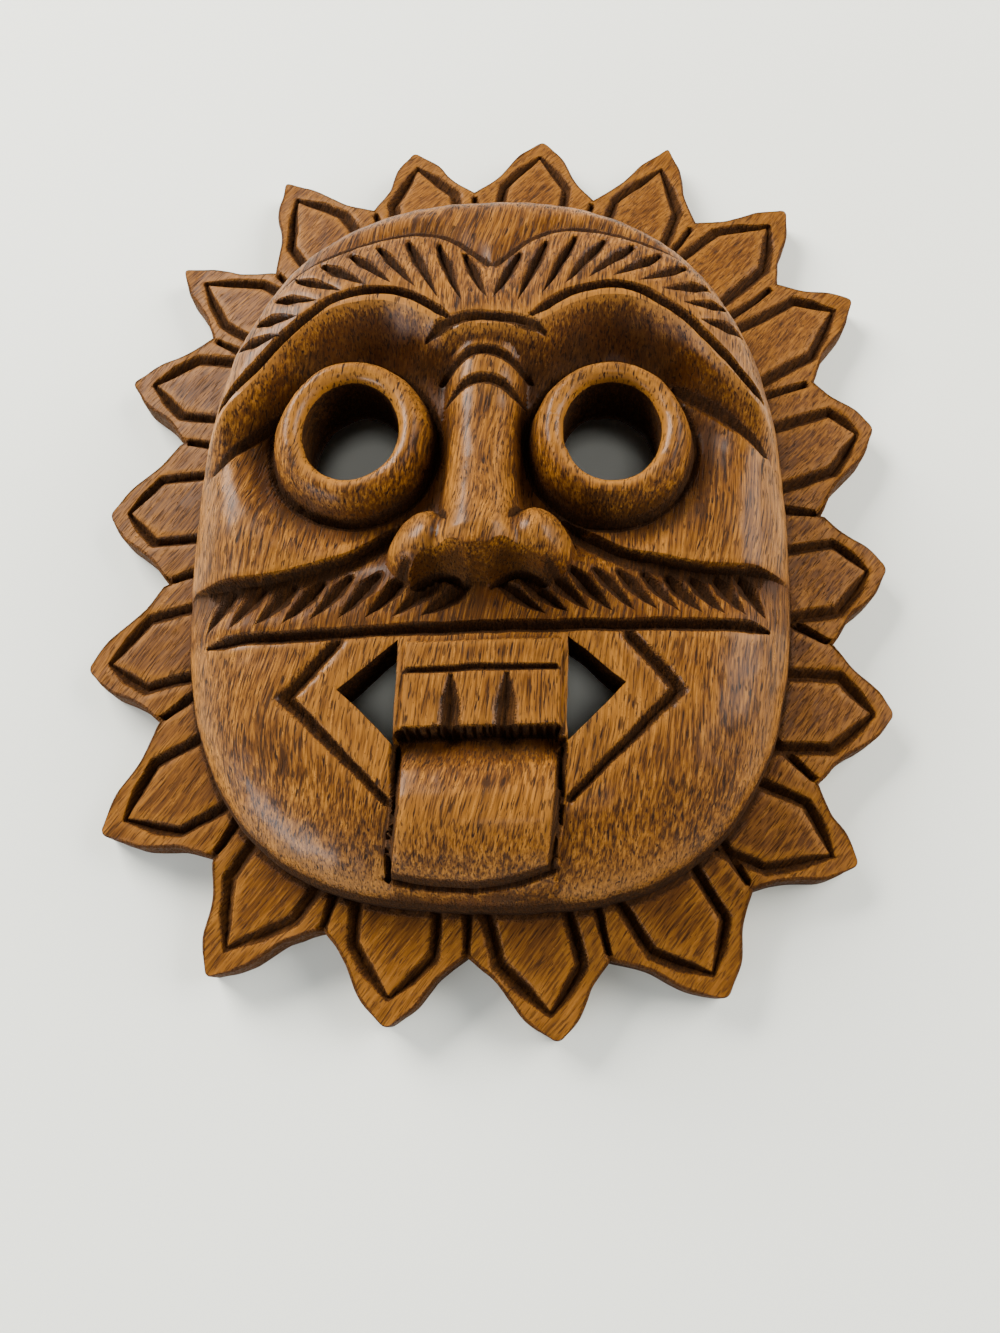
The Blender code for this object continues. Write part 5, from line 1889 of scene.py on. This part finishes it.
class Shading:
    """A material's node tree, with one way to add any node."""

    def __init__(self, name: str) -> None:
        """Start a material with its Principled shader.

        Args:
            name: The material's name.
        """
        self.material = bpy.data.materials.new(name)
        self.material.use_nodes = True
        self.nodes = self.material.node_tree.nodes
        self.surface = self.nodes["Principled BSDF"]

    def node(self, kind: str, settings: dict | None = None, values: dict | None = None) -> bpy.types.Node:
        """Add a node.

        Args:
            kind: The node's type.
            settings: Its settings, set before its sockets; "stops" gives a ramp's places and colours.
            values: What goes into its sockets, by name or number: numbers, colours or other values.

        Returns:
            The node.
        """
        made = self.nodes.new(kind)
        for name, setting in (settings or {}).items():
            if name == "stops":
                while len(made.color_ramp.elements) < len(setting):
                    made.color_ramp.elements.new(0.5)
                for element, (place, colour) in zip(made.color_ramp.elements, setting):
                    element.position, element.color = place, (*colour, 1.0)
            else:
                setattr(made, name, setting)
        for name, value in (values or {}).items():
            self.feed(made.inputs[name], value)
        return made

    def feed(self, socket: bpy.types.NodeSocket, value: "Value | float | tuple") -> None:
        """Set a socket to a number or colour, or link a value to it.

        Args:
            socket: The input socket.
            value: What goes in.
        """
        if isinstance(value, Value):
            self.material.node_tree.links.new(value.socket, socket)
        elif socket.type == "RGBA":
            socket.default_value = (*value[:3], 1.0)
        else:
            socket.default_value = value

    def maths(self, operation: str, *inputs: Value | float, clamp: bool = False) -> Value:
        """Add a Math node.

        Args:
            operation: The operation's name.
            inputs: Its inputs in order.
            clamp: Whether the result stays from 0 to 1.

        Returns:
            The result.
        """
        made = self.node("ShaderNodeMath", {"operation": operation, "use_clamp": clamp}, dict(enumerate(inputs)))
        return Value(self, made.outputs[0])

    def mix(self, share: Value | float, first: Value | tuple, second: Value | tuple) -> Value:
        """Mix two colours.

        Args:
            share: How much of the second.
            first: The first colour.
            second: The second colour.

        Returns:
            The mixed colour.
        """
        made = self.node("ShaderNodeMix", {"data_type": "RGBA"}, {0: share, 6: first, 7: second})
        return Value(self, made.outputs[2])

    def attribute(self, name: str) -> Value:
        """Read what the mesh's corners wear."""
        return Value(self, self.node("ShaderNodeAttribute", {"attribute_name": name}).outputs["Fac"])

    def noise(self, place: Value, scale: float, detail: float, roughness: float = 0.5) -> Value:
        """Add smooth noise.

        Args:
            place: Where it is read.
            scale: How fine it is.
            detail: How many finer layers it has.
            roughness: How strong those are.

        Returns:
            Numbers round 0.5.
        """
        made = self.node("ShaderNodeTexNoise", None, {"Vector": place, "Scale": scale, "Detail": detail,
                                                      "Roughness": roughness})
        return Value(self, made.outputs["Fac"])

    def along_grain(self, place: Value, grain: tuple, stretch: tuple) -> Value:
        """Turn a place into how far it is along the grain and across it, and stretch it.

        Args:
            place: The place in millimetres.
            grain: The direction of the fibres.
            stretch: Factors for across, through and along.

        Returns:
            The place in the fibres' own directions.
        """
        along = Vector(grain).normalized()
        across = along.cross(Vector((0.0, 0.0, 1.0))).normalized()
        through = across.cross(along)
        parts = []
        for direction, factor in zip((across, through, along), stretch):
            dot = self.node("ShaderNodeVectorMath", {"operation": "DOT_PRODUCT"},
                            {0: place, 1: tuple(direction * factor)})
            parts.append(Value(self, dot.outputs["Value"]))
        joined = self.node("ShaderNodeCombineXYZ", None, dict(enumerate(parts)))
        return Value(self, joined.outputs["Vector"])


def total(layers: dict[str, Value], start: float, **shares: float) -> Value:
    """Add up layers of the wood, each times its share.

    Args:
        layers: The layers by name.
        start: What the sum starts from.
        shares: The share of each layer that counts.

    Returns:
        The sum.
    """
    added = start
    for name, share in shares.items():
        added = layers[name] * share + added
    return added


@dataclass(frozen=True)
class Figure:
    """One layer of the wood's figure: how fine it is across and along the fibres, and how rough."""

    across: float
    along: float
    detail: float
    roughness: float


@dataclass(frozen=True)
class WaxedWood:
    """Open-pored hardwood, stained dark, rubbed back to gold and waxed, with shade painted into its hollows, its cut
    floors and the shaded zones of the face.
    """

    gold: tuple = (0.156, 0.0560, 0.0066)
    brown: tuple = (0.082, 0.0282, 0.0044)
    # deep and red colour both the staining and the painted shade; floor colours the pores and the darkened cut
    # floors.
    deep: tuple = (0.034, 0.0122, 0.0028)
    floor: tuple = (0.019, 0.0078, 0.0026)
    pale: tuple = (0.300, 0.118, 0.0160)
    red: tuple = (0.050, 0.0145, 0.0020)
    shade_stops: tuple = (0.20, 0.40, 0.62, 0.88)
    ray_grain: tuple = (0.60, 0.78, 0.16)
    streaks: Figure = Figure(0.20, 0.016, 4.0, 0.62)
    fine: Figure = Figure(1.45, 0.058, 3.0, 0.6)
    pores: Figure = Figure(2.3, 0.26, 1.0, 0.4)
    pore_range: tuple = (0.565, 0.655)
    coarse: Figure = Figure(1.15, 0.13, 2.0, 0.5)
    coarse_range: tuple = (0.60, 0.72)
    ray_evenness: float = 0.42
    ray_shade: float = 0.19
    end_grain_range: tuple = (0.42, 0.95)
    # Where cut floors and the feet of steps turn dark: staining and painted shade.
    ragged_range: tuple = (0.10, 0.42)
    coat: float = 0.13
    coat_roughness: float = 0.27
    shine: float = 0.06
    pore_depth: float = 0.00022
    depth_stretch: float = 0.4

    def figure(self, tree: Shading, place: Value, ring: Value, layer: Figure) -> Value:
        """Lay one layer of figure along the fibres of the face and of the rays.

        Args:
            tree: The tree to build in.
            place: The place in millimetres.
            ring: 1 on the rays and 0 on the face.
            layer: The layer's sizes.

        Returns:
            Numbers round 0.5.
        """
        stretch = (layer.across, layer.across * self.depth_stretch, layer.along)
        face = tree.along_grain(place, FACE_GRAIN, stretch)
        rays = tree.along_grain(place, self.ray_grain, stretch)
        joined = tree.node("ShaderNodeMix", {"data_type": "VECTOR"}, {0: ring, 4: face, 5: rays})
        return tree.noise(Value(tree, joined.outputs[1]), 1.0, layer.detail, layer.roughness)

    def layers(self, tree: Shading) -> dict[str, Value]:
        """Read what the corners wear and lay the wood's figure over it.

        Args:
            tree: The tree to build in.

        Returns:
            Every layer by its name.
        """
        place = self.place(tree)
        worn = ("ring", "stain", "proud", "sunk", "tone", "end_grain", "hidden")
        made = {name: tree.attribute(name) for name in worn}
        ring = made["ring"]
        made["streaks"] = self.figure(tree, place, ring, self.streaks)
        made["fine"] = self.figure(tree, place, ring, self.fine)
        made["pores"] = self.figure(tree, place, ring, self.pores).between(*self.pore_range)
        made["coarse"] = self.figure(tree, place, ring, self.coarse).between(*self.coarse_range)
        made["mottle"] = tree.noise(place, 0.055, 3.0, 0.6)
        made["speckle"] = tree.noise(place, 1.9, 2.0, 0.6)
        made["ended"] = made["end_grain"].between(*self.end_grain_range)
        # Cut floors and the feet of steps, painted dark with staining and shade, with a ragged edge.
        made["ragged"] = total(made, -0.65, stain=1.0, speckle=0.7, fine=0.6).between(*self.ragged_range)
        rubbed = total(made, -0.55, proud=0.4, sunk=-0.2, tone=-0.9, fine=1.1).clamped()
        made["rubbed"] = rubbed * (1.0 - made["stain"])
        return made

    def colour(self, tree: Shading, layers: dict[str, Value]) -> Value:
        """Lay the colours of the wood over each other.

        Args:
            tree: The tree to build in.
            layers: The wood's layers.

        Returns:
            The colour.
        """
        ring, fine = layers["ring"], layers["fine"]
        shade = total(layers, -1.02, streaks=0.7, fine=2.0, mottle=0.4).clamped()
        shade = shade * (1.0 - ring * self.ray_evenness) + ring * self.ray_shade
        stops = tuple(zip(self.shade_stops, (self.deep, self.brown, self.gold, self.pale)))
        base = tree.node("ShaderNodeValToRGB", {"stops": stops}, {"Fac": shade})
        # How far the colour goes dark: staining, stronger on end grain, and painted shade in hollows and in the
        # shaded zones.
        stain_and_shade_share = total(layers, 0.25, ended=0.5, tone=0.8, sunk=0.45, proud=-0.25, fine=-0.5).clamped()
        # The dark colour of both the staining and the painted shade.
        stained = tree.mix(layers["mottle"].between(0.4, 0.6), self.deep, self.red)
        colour = tree.mix(stain_and_shade_share * 0.85, Value(tree, base.outputs["Color"]), stained)
        colour = tree.mix(layers["rubbed"] * 0.7, colour, self.pale)
        open_pores = total(layers, 0.0, pores=0.72, coarse=0.35).clamped()
        colour = tree.mix(open_pores * total(layers, 1.0, hidden=-0.4, ring=-0.3), colour, self.floor)
        # Cut floors and the feet of steps go dark brown: staining and painted shade.
        cut_floor = tree.mix(fine.between(0.45, 0.62), self.floor, self.deep)
        return tree.mix(layers["ragged"] * total(layers, 0.92, ring=-0.14), colour, cut_floor)

    def material(self) -> bpy.types.Material:
        """Build the finish.

        Returns:
            The material.
        """
        tree = Shading("waxed_wood")
        layers = self.layers(tree)
        ragged, surface = layers["ragged"], tree.surface.inputs
        rough = total(layers, 0.46, pores=0.16, ragged=0.28, fine=0.12, rubbed=-0.06)
        waxed = self.coat * (1.0 - ragged) * total(layers, 1.0, ring=-0.9, tone=-0.8)
        relief = (total(layers, 0.0, fine=0.22, pores=-0.75, coarse=-0.3)
                  + ragged * total(layers, 0.0, speckle=1.6, fine=1.5))
        bump = tree.node("ShaderNodeBump", None, {"Strength": 1.0, "Distance": self.pore_depth, "Height": relief})
        tree.feed(surface["Base Color"], self.colour(tree, layers))
        tree.feed(surface["Roughness"], rough.clamped())
        tree.feed(surface["Coat Weight"], waxed.clamped())
        tree.feed(surface["Normal"], Value(tree, bump.outputs["Normal"]))
        surface["Coat Roughness"].default_value = self.coat_roughness
        surface["Specular IOR Level"].default_value = self.shine
        return tree.material

    def place(self, tree: Shading) -> Value:
        """Give places on the wood in millimetres, with the fibres' slow wander.

        Args:
            tree: The tree to build in.

        Returns:
            The wandering places.
        """
        spot = tree.node("ShaderNodeTexCoord").outputs["Object"]
        scaled = tree.node("ShaderNodeVectorMath", {"operation": "SCALE"}, {0: Value(tree, spot), "Scale": 1000.0})
        millimetres = Value(tree, scaled.outputs["Vector"])
        drift = tree.node("ShaderNodeTexNoise", None, {"Vector": millimetres, "Scale": 0.022, "Detail": 1.0})
        centred = tree.node("ShaderNodeVectorMath", {"operation": "MULTIPLY_ADD"},
                            {0: Value(tree, drift.outputs["Color"]), 1: (9.0, 0.0, 3.0), 2: millimetres})
        return Value(tree, centred.outputs["Vector"])


@dataclass(frozen=True)
class PaleFloor:
    """The plain pale surface that the mask lies on."""

    half_size: float = 12.0
    colour: tuple = (0.955, 0.962, 0.865)
    gap: float = 0.0002

    def build(self) -> bpy.types.Object:
        """Make the floor.

        Returns:
            The floor's object.
        """
        size = self.half_size
        mesh = bpy.data.meshes.new("floor")
        mesh.from_pydata([(-size, -size, -self.gap), (size, -size, -self.gap), (size, size, -self.gap),
                          (-size, size, -self.gap)], [], [(0, 1, 2, 3)])
        tree = Shading("pale_floor")
        spot = Value(tree, tree.node("ShaderNodeTexCoord").outputs["Object"])
        cloud = tree.noise(spot, 2.2, 2.0)
        darker = tuple(channel * 0.97 for channel in self.colour)
        tree.feed(tree.surface.inputs["Base Color"], tree.mix(cloud, self.colour, darker))
        tree.surface.inputs["Roughness"].default_value = 0.75
        mesh.materials.append(tree.material)
        return put_in_scene("floor", mesh)


@dataclass(frozen=True)
class SoftLight:
    """A large soft light."""

    name: str
    place: tuple
    aim: tuple
    size: tuple
    power: float
    colour: tuple = (1.0, 1.0, 1.0)

    def build(self) -> None:
        """Hang the light."""
        lamp = bpy.data.lights.new(self.name, "AREA")
        lamp.shape, lamp.size, lamp.size_y = "RECTANGLE", self.size[0], self.size[1]
        lamp.energy, lamp.color = self.power, self.colour
        light = put_in_scene(self.name, lamp)
        light.location = self.place
        light.rotation_mode = "QUATERNION"
        light.rotation_quaternion = (Vector(self.aim) - Vector(self.place)).to_track_quat("-Z", "Y")


@dataclass(frozen=True)
class Studio:
    """The room: a pale sky and soft lights."""

    zenith: tuple = (0.10, 0.10, 0.10)
    horizon: tuple = (1.0, 1.04, 1.08)
    lights: tuple = (
        SoftLight("lamp", (-1.30, 1.25, 1.00), (0.0, 0.12, 0.0), (1.2, 1.1), 128.0, (1.0, 0.985, 0.94)),
        SoftLight("fill", (1.5, 0.55, 0.9), (0.0, 0.1, 0.0), (1.5, 1.2), 66.0, (1.0, 0.99, 0.96)),
        SoftLight("window", (-0.95, -0.80, 0.17), (0.0, 0.0, 0.02), (0.8, 0.22), 21.0, (0.84, 0.92, 1.0)),
        SoftLight("near", (0.08, -0.42, 1.15), (0.0, 0.0, 0.0), (0.3, 0.3), 1.8),
    )

    def build(self) -> None:
        """Light the room."""
        world = bpy.data.worlds.new("room")
        world.use_nodes = True
        nodes, links = world.node_tree.nodes, world.node_tree.links
        direction = nodes.new("ShaderNodeTexCoord")
        parts = nodes.new("ShaderNodeSeparateXYZ")
        ramp = nodes.new("ShaderNodeValToRGB")
        first, second = ramp.color_ramp.elements
        first.position, first.color = 0.1, (*self.horizon, 1.0)
        second.position, second.color = 0.85, (*self.zenith, 1.0)
        links.new(direction.outputs["Generated"], parts.inputs[0])
        links.new(parts.outputs["Z"], ramp.inputs["Fac"])
        links.new(ramp.outputs["Color"], nodes["Background"].inputs["Color"])
        bpy.context.scene.world = world
        for light in self.lights:
            light.build()


@dataclass(frozen=True)
class PhotoCamera:
    """The camera where the photograph was taken from, over the chin."""

    place: tuple = (0.0149374, -0.1433006, 0.2812)
    right: tuple = (0.9992051, 0.01999102, -0.03448966)
    up: tuple = (-0.00747973, 0.94382338, 0.33036568)
    back: tuple = (0.0391565, -0.32984509, 0.94322266)
    lens: float = 27.0
    sensor: float = 36.0

    def build(self) -> None:
        """Set up the camera."""
        data = bpy.data.cameras.new("camera")
        data.lens, data.sensor_width, data.sensor_fit = self.lens, self.sensor, "AUTO"
        data.clip_start, data.clip_end = 0.01, 20.0
        camera = put_in_scene("camera", data)
        turn = Matrix((self.right, self.up, self.back)).transposed()
        camera.matrix_world = Matrix.Translation(Vector(self.place)) @ turn.to_4x4()
        bpy.context.scene.camera = camera


def main() -> None:
    """Build the mask, its finish and the room, and report each piece."""
    logging.basicConfig(level=logging.INFO, format="%(name)s %(message)s", stream=sys.stdout)
    mask = SunMask().build()
    mask.data.materials.append(WaxedWood().material())
    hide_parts("sun_mask")
    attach(mask, "root")
    log.info("piece %s: %d triangles", mask.name, len(mask.data.polygons))
    floor = PaleFloor().build()
    Studio().build()
    PhotoCamera().build()


if __name__ == "__main__":
    main()
